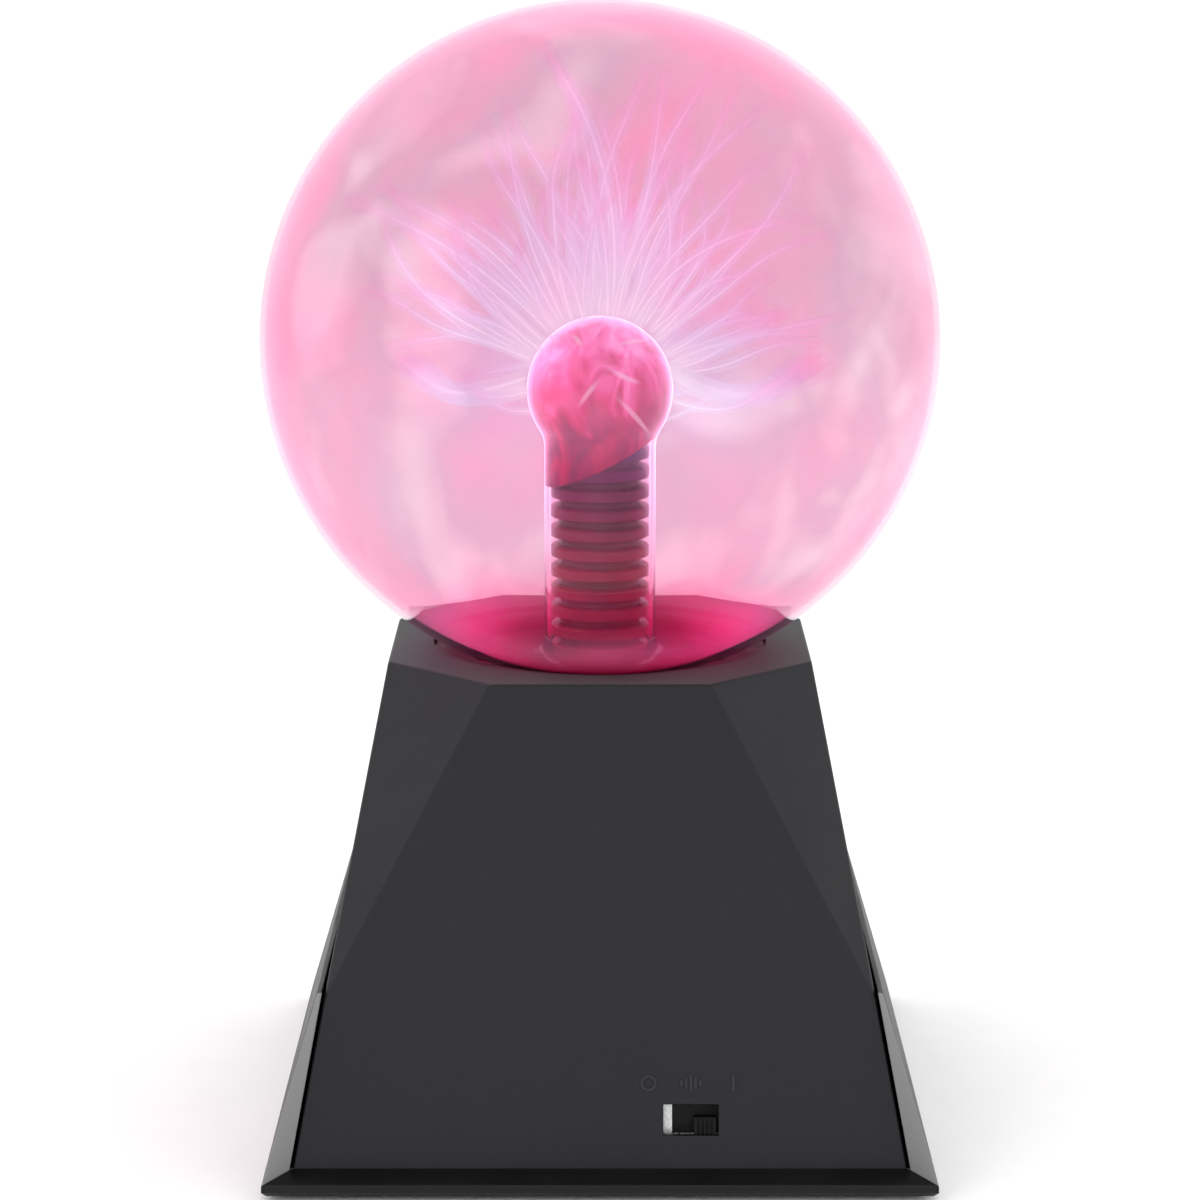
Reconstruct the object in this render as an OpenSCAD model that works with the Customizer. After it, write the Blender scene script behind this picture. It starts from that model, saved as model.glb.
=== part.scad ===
// Desk plasma ball: a sealed glass globe with an inner electrode stem, standing on a
// tapered eight-cornered housing over a low plinth. Millimetres, +Z up, front towards -Y.
// The origin is the centre of the footprint, on the surface that the feet stand on.

/* [Globe] */
// Outer radius of the glass globe
globe_r = 75; // [72:0.5:76]
// Height of the globe's centre above the table
globe_z = 173.5; // [172:0.5:176]
// Glass thickness at the crown of the globe
crown_glass = 1.6; // [1.2:0.1:2.2]
// Extra glass thickness that gathers at the neck
neck_gather = 2.4; // [1.6:0.1:2.8]
// Outer radius of the glass neck
neck_r = 30; // [29:0.5:31]
// Wall of the glass neck
neck_wall = 3; // [2.5:0.1:3.5]
// Height of the neck's lower rim
neck_z = 86; // [84:0.5:90]

/* [Electrode] */
// Outer radius of the electrode bulb
bulb_r = 16.2; // [15.5:0.1:17]
// Height of the electrode bulb's centre
bulb_z = 163; // [160:0.5:166]
// Outer radius of the stem tube
stem_r = 12.4; // [12:0.1:13]
// Wall of the stem tube and bulb
stem_wall = 1.1; // [0.9:0.1:1.2]
// Height of the glass floor that closes the gas space
floor_z = 103.5; // [102.5:0.1:104]
// Thickness of that glass floor
floor_glass = 2.5; // [2:0.1:3]
// Outer radius of the sleeve's ribs
rib_r = 11; // [10.8:0.1:11]
// Depth of the grooves between the ribs
rib_depth = 1.7; // [1.2:0.1:1.9]
// Distance from one rib to the next
rib_pitch = 4.45; // [4.2:0.05:4.6]
// Width of each groove
groove_w = 1.4; // [1:0.1:1.8]
// Height of the sleeve's slanted end, at its axis
sleeve_top_z = 147.2; // [144:0.1:149]
// Slant of the sleeve's end
sleeve_slant = 25.5; // [20:0.5:28]

/* [Housing] */
// Half width of the housing's flat top
top_half = 46.2; // [46:0.1:48]
// Half length of each front, back and side edge of the eight-sided top
top_edge_half = 23.3; // [21:0.1:26]
// Height of the housing's top above the table
top_z = 106.5; // [106:0.1:107]
// How far the sides lean out for each millimetre of height
side_lean = 0.1885; // [0.18:0.0005:0.195]
// Height at which each corner facet runs out to a point
facet_z = 40.2; // [36:0.1:44]
// Wall thickness, measured level
wall = 2.4; // [2.2:0.1:2.8]
// Radius of the hole that the globe sits in
globe_hole_r = 37.1; // [36.8:0.1:37.6]

/* [Plinth] */
// Height of the feet under the plinth
foot_h = 1.2; // [1:0.1:1.6]
// Half width of the plinth
plinth_half = 71.5; // [70.5:0.1:73]
// Height of the plinth's upright edge
edge_z = 3.8; // [3.6:0.1:4]
// Height at which the housing stands on the plinth
seat_z = 5.4; // [5.2:0.1:5.8]
// Height of the side cheeks' upper edge
cheek_z = 42.4; // [38:0.1:46]
// Thickness of the side cheeks at their upper edge
cheek_lip = 1.2; // [1:0.1:1.6]
// Gap between a cheek and the housing's side
cheek_gap = 0.6; // [0.4:0.1:0.8]

/* [Switch] */
// Centre of the switch window, right of the middle
switch_x = 19.3; // [16:0.1:24]
// Height of the switch window's centre
switch_z = 15.5; // [15.3:0.1:18]
// Width of the switch window
window_w = 11.7; // [11.5:0.1:12.5]
// Height of the switch window, along the slope
window_h = 6.6; // [6.2:0.1:7]
// Step from one switch position to the next
switch_step = 2; // [1.5:0.1:2]

/* [Power inlet] */
// Centre of the inlet, left of the middle as seen from the front
jack_x = 24; // [20:0.5:30]
// Height of the inlet's centre
jack_z = 16; // [15:0.5:20]
// Radius of the inlet's centre pin
pin_r = 1.05; // [1:0.05:1.25]
// Radius of the inlet's socket
socket_r = 2.9; // [2.8:0.05:3]

/* [Circuit board] */
// Width of the board
board_w = 84; // [82:1:86]
// Depth of the board
board_d = 64; // [62:1:66]
// Height of the board's underside
board_z = 9.2; // [9:0.1:10]

/* [Hidden] */
$fn = 96;

far = 400;                // longer than anything here, for cutting tools
over = 1;                 // how far a cutting tool runs past a face
slip = 0.05;              // clearance of a screw or pin in its hole

lean = atan(side_lean);
wall_t = wall * cos(lean);
root2 = sqrt(2);
facet_top = (top_half + top_edge_half) / root2;
facet_low = half_at(facet_z) * root2;
facet_lean = (facet_low - facet_top) / (top_z - facet_z);

// Half width of the housing at a height
function half_at(z) = top_half + (top_z - z) * side_lean;
// Distance from the axis to a corner facet at a height
function facet_at(z) = facet_top + (top_z - z) * facet_lean;

// ---- shared shapes ----

// A long bar along Y with a four-sided section, mirrored about x = 0
module wedge_bar(low_half, low_z, high_half, high_z) {
    rotate([90, 0, 0])
        linear_extrude(height = far, center = true)
            polygon([[-low_half, low_z], [low_half, low_z], [high_half, high_z], [-high_half, high_z]]);
}

// The housing's outer form between two heights, drawn in by an inset
module taper(inset, low_z, high_z) {
    intersection() {
        side_pair(inset, low_z, high_z, 0);
        side_pair(inset, low_z, high_z, 90);
        facet_pair(inset, low_z, high_z, 45);
        facet_pair(inset, low_z, high_z, 135);
    }
}

module side_pair(inset, low_z, high_z, turn) {
    rotate([0, 0, turn])
        wedge_bar(half_at(low_z) - inset, low_z, half_at(high_z) - inset, high_z);
}

module facet_pair(inset, low_z, high_z, turn) {
    rotate([0, 0, turn])
        wedge_bar(facet_at(low_z) - inset, low_z, facet_at(high_z) - inset, high_z);
}

// Puts a shape on the front wall: x to the right, y into the housing, z up the slope
module on_front(x, z) {
    translate([x, -half_at(z), z]) rotate([-lean, 0, 0]) children();
}

module on_back(x, z) {
    rotate([0, 0, 180]) on_front(x, z) children();
}

// A box between two corners
module block(low, high) {
    translate(low) cube(high - low);
}

// A cylinder along local y, from y0 to y1
module rod_y(x, z, r, y0, y1) {
    translate([x, y0, z]) rotate([-90, 0, 0]) cylinder(r = r, h = y1 - y0);
}

// The same place in all four corners
module four_corners(x, y) {
    for (sx = [-1, 1], sy = [-1, 1]) translate([sx * x, sy * y, 0]) children();
}

// A cross-head screw standing on its head at z = 0, pointing up
module cross_screw(head_r, head_h, shank_r, length) {
    cross_w = head_r * 0.26;
    cross_l = head_r * 1.2;
    difference() {
        union() {
            cylinder(r1 = head_r * 0.8, r2 = head_r, h = head_h * 0.4);
            translate([0, 0, head_h * 0.4]) cylinder(r = head_r, h = head_h * 0.6);
            translate([0, 0, head_h]) cylinder(r = shank_r, h = length - shank_r);
            translate([0, 0, head_h + length - shank_r])
                cylinder(r1 = shank_r, r2 = shank_r * 0.3, h = shank_r);
        }
        block([-cross_l / 2, -cross_w / 2, -over], [cross_l / 2, cross_w / 2, head_h * 0.6]);
        block([-cross_w / 2, -cross_l / 2, -over], [cross_w / 2, cross_l / 2, head_h * 0.6]);
    }
}

// Points along a cubic curve through four control points
function curve(p, n) = [for (i = [0:n]) let(t = i / n, s = 1 - t)
    s * s * s * p[0] + 3 * s * s * t * p[1] + 3 * s * t * t * p[2] + t * t * t * p[3]];
function unit(v) = v / norm(v);
function along(p, i) = unit(p[min(i + 1, len(p) - 1)] - p[max(i - 1, 0)]);

// A wire of radius r swept through a list of points; side is never parallel to the wire
module wire(points, r, side) {
    sides = 8;
    n = len(points);
    rings = [for (i = [0:n - 1]) let(t = along(points, i), u = unit(cross(t, side)), v = cross(t, u))
        for (k = [0:sides - 1]) points[i] + r * (cos(k * 360 / sides) * u + sin(k * 360 / sides) * v)];
    skin = [for (i = [0:n - 2], k = [0:sides - 1]) let(a = i * sides, b = (k + 1) % sides)
        [a + k, a + sides + k, a + sides + b, a + b]];
    polyhedron(rings, concat([[for (k = [0:sides - 1]) k]], skin,
        [[for (k = [sides - 1:-1:0]) (n - 1) * sides + k]]));
}

// ---- globe and electrode ----

inner_r = globe_r - crown_glass - neck_gather / 2;
inner_z = globe_z + neck_gather / 2;

module glass_globe() {
    color([1, 0.6, 0.8, 0.35]) difference() {
        union() {
            translate([0, 0, globe_z]) sphere(r = globe_r);
            translate([0, 0, neck_z]) cylinder(r = neck_r, h = globe_z - globe_r * 0.8 - neck_z);
        }
        translate([0, 0, inner_z]) sphere(r = inner_r);
        translate([0, 0, neck_z - over])
            cylinder(r = neck_r - neck_wall, h = inner_z - inner_r * 0.8 - neck_z);
    }
}

stem_root = 4;            // radius of the glass fillet where the stem rises from the floor
tip_x = 19;               // the sealed pumping tip under the glass floor
tip_r = 2.4;
tip_straight = 8;
tip_cone = 4;

module electrode_stem() {
    floor_low = floor_z - floor_glass;
    color([1, 0.45, 0.65, 0.45]) difference() {
        union() {
            translate([0, 0, bulb_z]) sphere(r = bulb_r);
            translate([0, 0, floor_low]) cylinder(r = stem_r, h = bulb_z - bulb_r / 2 - floor_low);
            translate([0, 0, floor_low]) cylinder(r = neck_r - neck_wall, h = floor_glass);
            rotate_extrude() difference() {
                translate([stem_r - over, floor_z - over]) square(stem_root + over);
                translate([stem_r + stem_root, floor_z + stem_root]) circle(r = stem_root);
            }
            translate([tip_x, 0, floor_low - tip_straight]) cylinder(r = tip_r, h = tip_straight + over);
            translate([tip_x, 0, floor_low - tip_straight - tip_cone])
                cylinder(r1 = tip_r / 3, r2 = tip_r, h = tip_cone);
        }
        translate([0, 0, bulb_z]) sphere(r = bulb_r - stem_wall);
        translate([0, 0, floor_low - over])
            cylinder(r = stem_r - stem_wall, h = bulb_z - bulb_r / 2 - floor_low);
    }
}

sleeve_z = 91.5;          // lower end of the sleeve, on the plug's flange
sleeve_wall = 0.7;
sleeve_ribs = 14;
rib_chamfer = 0.4;

// One side of the sleeve's wall, bottom to top, drawn in by a thickness
function ribbed_line(t) = [for (i = [0:sleeve_ribs - 1])
    let(z = sleeve_z + i * rib_pitch, crest = rib_r - t, root = rib_r - rib_depth - t)
    each [[root, z - (i == 0 ? 0 : t)], [root, z + groove_w + t],
          [crest - rib_chamfer, z + groove_w + t], [crest, z + groove_w + t + rib_chamfer],
          [crest, z + rib_pitch - t - rib_chamfer], [crest - rib_chamfer, z + rib_pitch - t]]];

module ribbed_sleeve() {
    inner = ribbed_line(sleeve_wall);
    down = [for (i = [len(inner) - 1:-1:0]) inner[i]];
    color([0.3, 0.12, 0.25]) difference() {
        rotate_extrude() polygon(concat(ribbed_line(0), down));
        translate([0, 0, sleeve_top_z]) rotate([5, -sleeve_slant, 0])
            translate([0, 0, far / 2]) cube(far, center = true);
    }
}

wool_r = rib_r - rib_depth - sleeve_wall - 0.2;
wool_low = 112;
wool_high = 132;

module contact_wool() {
    color("gray") translate([0, 0, wool_low]) cylinder(r = wool_r, h = wool_high - wool_low);
}

plug_flange = 3;
plug_h = 8.5;
lead_r = 1.4;
plug_hole_r = 1.6;

module stem_plug() {
    color([0.2, 0.2, 0.2]) difference() {
        translate([0, 0, sleeve_z - plug_flange]) union() {
            cylinder(r = stem_r, h = plug_flange);
            cylinder(r = wool_r, h = plug_h);
        }
        translate([0, 0, sleeve_z - plug_flange - over]) cylinder(r = plug_hole_r, h = plug_h + 2 * over);
    }
}

// The lead leaves the transformer's side, turns up to the axis and runs up the stem
lead_bend = [[9.1, 4, 31], [23, 4, 32], [0, 0, 52], [0, 0, 72]];
lead_rise = [[0, 0, 80], [0, 0, 90], [0, 0, 101], [0, 0, wool_low]];

module hv_lead() {
    color("firebrick") wire(concat(curve(lead_bend, 9), lead_rise), lead_r, [0, 1, 0]);
}

// ---- parts that hold the globe ----

ring_z = 96.5;            // underside of the clamp ring
ring_h = 3;
ring_r = 44.2;
ring_bolt_r = 41.4;       // radius of the ring's screw circle
gasket_gap = 0.15;
gasket_sink = 1.1;        // depth of the gasket's upper face below the housing's top

module globe_gasket() {
    color([0.15, 0.15, 0.15]) difference() {
        translate([0, 0, ring_z + ring_h])
            cylinder(r = globe_hole_r - 0.3, h = top_z - gasket_sink - ring_z - ring_h);
        translate([0, 0, ring_z]) cylinder(r = neck_r + gasket_gap, h = ring_h * 4);
        translate([0, 0, globe_z]) sphere(r = globe_r + gasket_gap);
    }
}

module clamp_ring() {
    color([0.12, 0.12, 0.12]) translate([0, 0, ring_z]) difference() {
        cylinder(r = ring_r, h = ring_h);
        translate([0, 0, -over]) cylinder(r = neck_r + 0.8, h = ring_h + 2 * over);
        for (a = [0:90:270]) rotate([0, 0, a]) translate([ring_bolt_r, 0, -over])
            cylinder(r = 1.5, h = ring_h + 2 * over);
    }
}

clamp_head_h = 1.6;
clamp_shank_r = 1.2;

module clamp_screws() {
    color("silver") for (a = [0:90:270]) rotate([0, 0, a])
        translate([ring_bolt_r, 0, ring_z - clamp_head_h]) cross_screw(2.4, clamp_head_h, clamp_shank_r, 6.8);
}

// ---- housing ----

boss_xy = 52;             // the four bosses that take the base screws
boss_r = 4;
base_shank_r = 1.4;
tray_z = 4.2;             // upper face of the plinth's floor
lip_z = 8.5;              // top of the plinth's locating lip

switch_dx = 1;            // the switch sits a little right of the window's centre
ear_x = 12.8;             // from the switch's centre to its screws
case_y = 3.6;             // depth of the switch's steel face behind the wall's outer face
barrel_r = 4;

mark_x = 9;               // spacing of the three raised position marks
mark_z = 7.9;             // their height above the window's centre
mark_h = 3.4;
mark_w = 0.5;
mark_relief = 0.25;

// Three raised marks: a ring for off, five bars for sound and one bar for on
module position_marks() {
    translate([-mark_x, 0, mark_z]) rotate([90, 0, 0]) difference() {
        translate([0, 0, -wall_t / 2]) cylinder(r = mark_h / 2, h = wall_t / 2 + mark_relief);
        translate([0, 0, -wall_t]) cylinder(r = mark_h / 2 - mark_w, h = wall_t + 2 * mark_relief);
    }
    for (i = [-2:2]) mark_bar(i * 2 * mark_w, mark_h * (1 - abs(i) * 0.3));
    mark_bar(mark_x, mark_h);
}

module mark_bar(x, h) {
    block([x - mark_w / 2, -mark_relief, mark_z - h / 2], [x + mark_w / 2, wall_t / 2, mark_z + h / 2]);
}

module housing_bosses() {
    intersection() {
        four_corners(boss_xy, boss_xy) translate([0, 0, tray_z + 0.2]) cylinder(r = boss_r, h = 60);
        taper(wall / 2, tray_z, top_z);
    }
    for (a = [0:90:270]) rotate([0, 0, a]) translate([ring_bolt_r, 0, ring_z + ring_h])
        cylinder(r = 2.7, h = top_z - wall / 2 - ring_z - ring_h);
    on_front(switch_x, switch_z) for (s = [-1, 1])
        rod_y(switch_dx + s * ear_x, 0, 2.3, wall_t / 2, case_y);
}

module housing() {
    color([0.2, 0.2, 0.22]) difference() {
        union() {
            difference() {
                taper(0, seat_z, top_z);
                taper(wall, seat_z - over, top_z - wall);
            }
            housing_bosses();
            on_front(switch_x, switch_z) position_marks();
        }
        cylinder(r = globe_hole_r, h = top_z + over);
        four_corners(boss_xy, boss_xy) cylinder(r = base_shank_r + slip, h = 18);
        for (a = [0:90:270]) rotate([0, 0, a]) translate([ring_bolt_r, 0, ring_z])
            cylinder(r = clamp_shank_r + slip, h = 7.6);
        on_front(switch_x, switch_z) {
            block([-window_w / 2, -over, -window_h / 2], [window_w / 2, wall_t + over, window_h / 2]);
            for (s = [-1, 1]) rod_y(switch_dx + s * ear_x, 0, 0.75 + slip, 0.9, case_y + over);
        }
        on_back(jack_x, jack_z) rod_y(0, 0, barrel_r + 0.15, -over, wall_t + over);
    }
}

// ---- plinth, feet and base screws ----

foot_xy = 61;
foot_r = 5;
foot_sink = 0.6;
post_x = board_w / 2 - 4;
post_y = board_d / 2 - 4;
base_head_h = 1.6;
base_sink = 1.7;          // depth of the counterbores under the plinth
slots = 3;                // air slots each side of the middle
slot_pitch = 6;

// A slab with a chamfered foot and a gently sloping ledge, along Y
module ledge_bar() {
    chamfer = 1;
    inner = half_at(seat_z) + cheek_gap;
    side = [[plinth_half - chamfer, foot_h], [plinth_half, foot_h + chamfer],
            [plinth_half, edge_z], [inner, seat_z]];
    other = [for (i = [3:-1:0]) [-side[i][0], side[i][1]]];
    rotate([90, 0, 0]) linear_extrude(height = far, center = true) polygon(concat(side, other));
}

// A side cheek: solid, wedge-shaped in section and cut off at 45 degrees at both ends
module cheek() {
    inner = half_at(seat_z) + cheek_gap;
    inner_top = half_at(cheek_z) + cheek_gap;
    intersection() {
        rotate([90, 0, 0]) linear_extrude(height = far, center = true)
            polygon([[inner, foot_h + 1.5], [plinth_half, foot_h + 1.5], [plinth_half, edge_z],
                     [inner_top + cheek_lip, cheek_z], [inner_top, cheek_z], [inner, seat_z]]);
        linear_extrude(height = cheek_z + over) polygon([[0, 0], [far, -far], [far, far]]);
    }
}

module plinth() {
    color([0.08, 0.08, 0.08]) difference() {
        union() {
            difference() {
                intersection() {
                    ledge_bar();
                    rotate([0, 0, 90]) ledge_bar();
                }
                taper(wall + 1.85, tray_z, seat_z + over);
            }
            difference() {
                taper(wall + 0.35, tray_z, lip_z);
                taper(wall + 1.85, tray_z - over, lip_z + over);
            }
            for (a = [0, 180]) rotate([0, 0, a]) cheek();
            four_corners(post_x, post_y) translate([0, 0, tray_z - over])
                cylinder(r = 2.6, h = board_z - tray_z + over);
        }
        four_corners(post_x, post_y) translate([0, 0, tray_z]) cylinder(r = 1 + slip, h = far);
        four_corners(boss_xy, boss_xy) cylinder(r = 1.7, h = seat_z);
        four_corners(boss_xy, boss_xy) cylinder(r = 3.4, h = foot_h + base_sink);
        four_corners(foot_xy, foot_xy) cylinder(r = foot_r + 0.1, h = foot_h + foot_sink);
        for (i = [-slots:slots])
            block([i * slot_pitch - 1, -15, 0], [i * slot_pitch + 1, 15, tray_z + over]);
    }
}

module rubber_feet() {
    bevel = 0.5;
    top = foot_h + foot_sink;
    color([0.1, 0.1, 0.1]) four_corners(foot_xy, foot_xy) rotate_extrude()
        polygon([[0, 0], [foot_r - bevel, 0], [foot_r, bevel], [foot_r, top], [0, top]]);
}

module base_screws() {
    color("silver") four_corners(boss_xy, boss_xy)
        translate([0, 0, foot_h + base_sink - base_head_h]) cross_screw(3, base_head_h, base_shank_r, 12);
}

// ---- circuit board ----

deck = board_z + 1.6;     // upper face of the board

module circuit_board() {
    color([0.1, 0.35, 0.15]) difference() {
        block([-board_w / 2, -board_d / 2, board_z], [board_w / 2, board_d / 2, deck]);
        four_corners(post_x, post_y) translate([0, 0, board_z - over]) cylinder(r = 1.5, h = 4);
    }
}

module board_screws() {
    color("silver") four_corners(post_x, post_y) translate([0, 0, deck + 1.4]) rotate([180, 0, 0])
        cross_screw(2.3, 1.4, 1, 5.6);
}

core_x = -16;             // middle of the transformer
core_y = 4;
core_z = deck + 2;
core_half = 19;
core_h = 36;
core_d = 12;
leg = 9;
hv_coil_r = 10.5;
primary_r = 8.3;
coil_h = core_h - 2 * leg - 0.4;

module transformer_core() {
    color([0.25, 0.25, 0.27]) translate([core_x, core_y, core_z]) difference() {
        block([-core_half, -core_d / 2, 0], [core_half, core_d / 2, core_h]);
        block([leg - core_half, -core_d, leg], [core_half - leg, core_d, core_h - leg]);
    }
}

module transformer_base() {
    color([0.1, 0.1, 0.12]) translate([core_x, core_y, deck])
        block([-core_half - 1, -core_d / 2 - 1, 0], [core_half + 1, core_d / 2 + 1, core_z - deck]);
}

// A round coil on one leg of the core
module coil(side, r) {
    translate([core_x + side * (core_half - leg / 2), core_y, core_z + leg + 0.2]) difference() {
        cylinder(r = r, h = coil_h);
        block([-leg / 2 - slip, -core_d / 2 - slip, -over],
            [leg / 2 + slip, core_d / 2 + slip, coil_h + over]);
    }
}

module primary_winding() {
    color([0.75, 0.42, 0.2]) coil(-1, primary_r);
}

module hv_winding() {
    color([0.15, 0.15, 0.2]) coil(1, hv_coil_r);
}

sink_low = [4, 17];       // front left corner of the heatsink, seen from above
sink_w = 30;
sink_base = 3;
sink_fins = 6;
fin_w = 1.6;
fin_l = 9;
sink_h = 24;
tab_x = 19;               // middle of the transistor
tab_w = 10;
tab_t = 1.3;
tab_screw_z = deck + 17.5;

module heatsink() {
    fin_pitch = (sink_w - fin_w) / (sink_fins - 1);
    color([0.7, 0.7, 0.72]) difference() {
        translate([sink_low[0], sink_low[1], deck]) linear_extrude(height = sink_h) union() {
            square([sink_w, sink_base]);
            for (i = [0:sink_fins - 1]) translate([i * fin_pitch, 0]) square([fin_w, sink_base + fin_l]);
        }
        rod_y(tab_x, tab_screw_z, 1.45 + slip, sink_low[1] - over, sink_low[1] + sink_base + over);
    }
}

module transistor() {
    face = sink_low[1];
    color([0.12, 0.12, 0.12]) difference() {
        union() {
            block([tab_x - tab_w / 2, face - tab_t, deck + 4], [tab_x + tab_w / 2, face, deck + 20.5]);
            block([tab_x - tab_w / 2, face - 4.5, deck + 4],
                [tab_x + tab_w / 2, face - tab_t / 2, deck + 13]);
            for (x = [-2.54, 0, 2.54])
                block([tab_x + x - 0.4, face - 2.8, deck], [tab_x + x + 0.4, face - 2.3, deck + 5]);
        }
        rod_y(tab_x, tab_screw_z, 1.7, face - tab_t - over, face + over);
    }
}

module heatsink_screw() {
    head_h = 1.8;
    color("silver") translate([tab_x, sink_low[1] - tab_t - head_h, tab_screw_z]) rotate([-90, 0, 0])
        cross_screw(2.8, head_h, 1.45, 4.2);
}

// A radial capacitor: a can with a waist near its foot
module can(x, y, r, h) {
    low = [[0, 0], [r - 0.3, 0], [r, 0.4], [r, 1.4], [r - 0.4, 1.8], [r, 2.2]];
    translate([x, y, deck]) rotate_extrude() polygon(concat(low, [[r, h - 0.4], [r - 0.4, h], [0, h]]));
}

module electrolytic_capacitors() {
    color([0.1, 0.15, 0.3]) {
        can(16, -20, 5, 12);
        can(28, -20, 4, 10);
        can(28, -9, 3.2, 8);
    }
}

module film_capacitor() {
    color([0.75, 0.2, 0.15]) block([-10, -25, deck], [3, -19, deck + 11]);
}

resistor_lift = 2;

module resistors() {
    color([0.75, 0.65, 0.45]) for (i = [0:3]) translate([-37 + i * 5, -13, deck]) {
        rod_y(0, resistor_lift, 1.2, -3, 3);
        rod_y(0, resistor_lift, 0.28, -4, 4);
        for (s = [-1, 1]) translate([0, s * 4, 0]) cylinder(r = 0.35, h = resistor_lift + 0.35);
    }
}

module control_chip() {
    color([0.1, 0.1, 0.1]) translate([-26, -23, deck]) {
        block([-4.8, -3.2, 0.5], [4.8, 3.2, 3.9]);
        for (i = [-1.5:1.5], s = [-1, 1]) translate([i * 2.54, s * 3.7, 0])
            block([-0.3, -0.55, 0], [0.3, 0.55, 2.2]);
    }
}

mic_r = 4.8;
mic_h = 6.5;

module microphone() {
    color("silver") translate([36, 4, deck]) difference() {
        cylinder(r = mic_r, h = mic_h);
        translate([0, 0, mic_h - 0.6]) cylinder(r = mic_r - 1, h = over);
    }
}

// ---- power inlet ----

bezel_r = 5.6;
bezel_t = 1.6;
socket_end = 8.5;
barrel_end = 13;
pin_tip = 0.2;
tail_r = 0.7;
tail_end = 16;
contact_w = 2;

module jack_contact_form(ease) {
    half = contact_w / 2 + ease;
    block([-half, 1.5 - ease, -socket_r - 0.1 - ease], [half, tail_end - 0.5, 0.5 - socket_r + ease]);
}

module jack_body() {
    color([0.08, 0.08, 0.08]) on_back(jack_x, jack_z) difference() {
        union() {
            rod_y(0, 0, bezel_r, -bezel_t, 0);
            rod_y(0, 0, barrel_r, -slip, barrel_end);
        }
        rod_y(0, 0, socket_r, -bezel_t - over, socket_end);
        rod_y(0, 0, tail_r + slip, socket_end - over, barrel_end + over);
        jack_contact_form(slip);
    }
}

module jack_pin() {
    color("gold") on_back(jack_x, jack_z) {
        rod_y(0, 0, pin_r, pin_tip, socket_end);
        rod_y(0, 0, tail_r, socket_end - slip, tail_end);
    }
}

module jack_contact() {
    color("gold") on_back(jack_x, jack_z) jack_contact_form(0);
}

module jack_nut() {
    color("silver") on_back(jack_x, jack_z) difference() {
        translate([0, wall_t, 0]) rotate([-90, 0, 0]) cylinder(r = 5.8, h = 2.2, $fn = 6);
        rod_y(0, 0, barrel_r + slip, 0, 6);
    }
}

// One wire from the pin's tail and one from the contact's, to the board
module jack_wires() {
    left = -jack_x - 3;
    right = -jack_x + 3;
    pin_wire = [[-jack_x, 47.4, 13], [-jack_x, 42, 12], [left, 30, 26], [left, 26, deck + 0.2]];
    case_wire = [[-jack_x, 48.4, 10.5], [-jack_x, 42, 9], [right, 30, 24], [right, 26, deck + 0.2]];
    color("firebrick") {
        wire(curve(pin_wire, 8), 0.7, [1, 0, 0]);
        wire(curve(case_wire, 8), 0.7, [1, 0, 0]);
    }
}

// ---- slide switch: off, sound, on ----

plate_t = 0.5;
slot_half = 4.95;         // half length and half height of the slot in the steel case
slot_half_h = 3.3;
slide_ease = 0.15;        // clearance around the moving slide
knob_half = 2.35;
knob_half_h = 1.85;
knob_z = -1.4;            // the knob sits low in the window
knob_face = 0.9;          // how far the knob's face lies behind the wall's outer face
knob_x = switch_step;     // from the switch's centre, at the right-hand end
ridges = 5;
slide_half = slot_half + switch_step + 0.35;
slide_half_h = slot_half_h + 0.3;
slide_y = 5.6;            // depth of the slide's back
cavity_half = slide_half + switch_step + 0.2;
cavity_end = 7.9;
base_half = cavity_half + 0.6;
base_half_h = slide_half_h + slide_ease + 0.6;
base_end = 9.2;
terminal_x = [-3, -1, 1, 3];

// Puts a shape at the switch's centre
module at_switch() {
    on_front(switch_x, switch_z) translate([switch_dx, 0, 0]) children();
}

module switch_case() {
    half_h = base_half_h + plate_t;
    color("silver") at_switch() difference() {
        union() {
            block([-ear_x - 2.6, case_y, -half_h], [ear_x + 2.6, case_y + plate_t, half_h]);
            for (z = [-half_h, base_half_h])
                block([-base_half, case_y, z], [base_half, base_end - 0.6, z + plate_t]);
        }
        block([-slot_half, case_y - over, -slot_half_h], [slot_half, case_y + over, slot_half_h]);
        for (s = [-1, 1]) rod_y(s * ear_x, 0, 1, case_y - over, case_y + over);
    }
}

// A flat terminal pin, or the hole for it when given some ease
module terminal(x, ease, end) {
    block([x - 0.4 - ease, cavity_end - ease, -0.25 - ease], [x + 0.4 + ease, end, 0.25 + ease]);
}

module switch_base() {
    cavity_half_h = slide_half_h + slide_ease;
    color([0.2, 0.13, 0.08]) at_switch() difference() {
        block([-base_half, case_y + plate_t, -base_half_h], [base_half, base_end, base_half_h]);
        block([-cavity_half, case_y, -cavity_half_h], [cavity_half, cavity_end, cavity_half_h]);
        for (x = terminal_x) terminal(x, slip, base_end + over);
    }
}

module switch_terminals() {
    color("silver") at_switch() for (x = terminal_x) terminal(x, 0, base_end + 3.6);
}

module switch_screws() {
    head_h = 1.2;
    color("silver") at_switch() for (s = [-1, 1])
        translate([s * ear_x, case_y + plate_t + head_h, 0]) rotate([90, 0, 0])
            cross_screw(1.7, head_h, 0.75, 2.8);
}

module switch_wires() {
    color("firebrick") for (i = [0:2]) let(x = switch_x + switch_dx - 1 + 2 * i, far_x = x - 2 + 2 * i)
        wire(curve([[x, -50.6, 13.1], [x, -44, 11.5], [far_x, -31, 24], [far_x - 1, -28.5, deck + 0.2]], 8),
            0.6, [1, 0, 0]);
}

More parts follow.
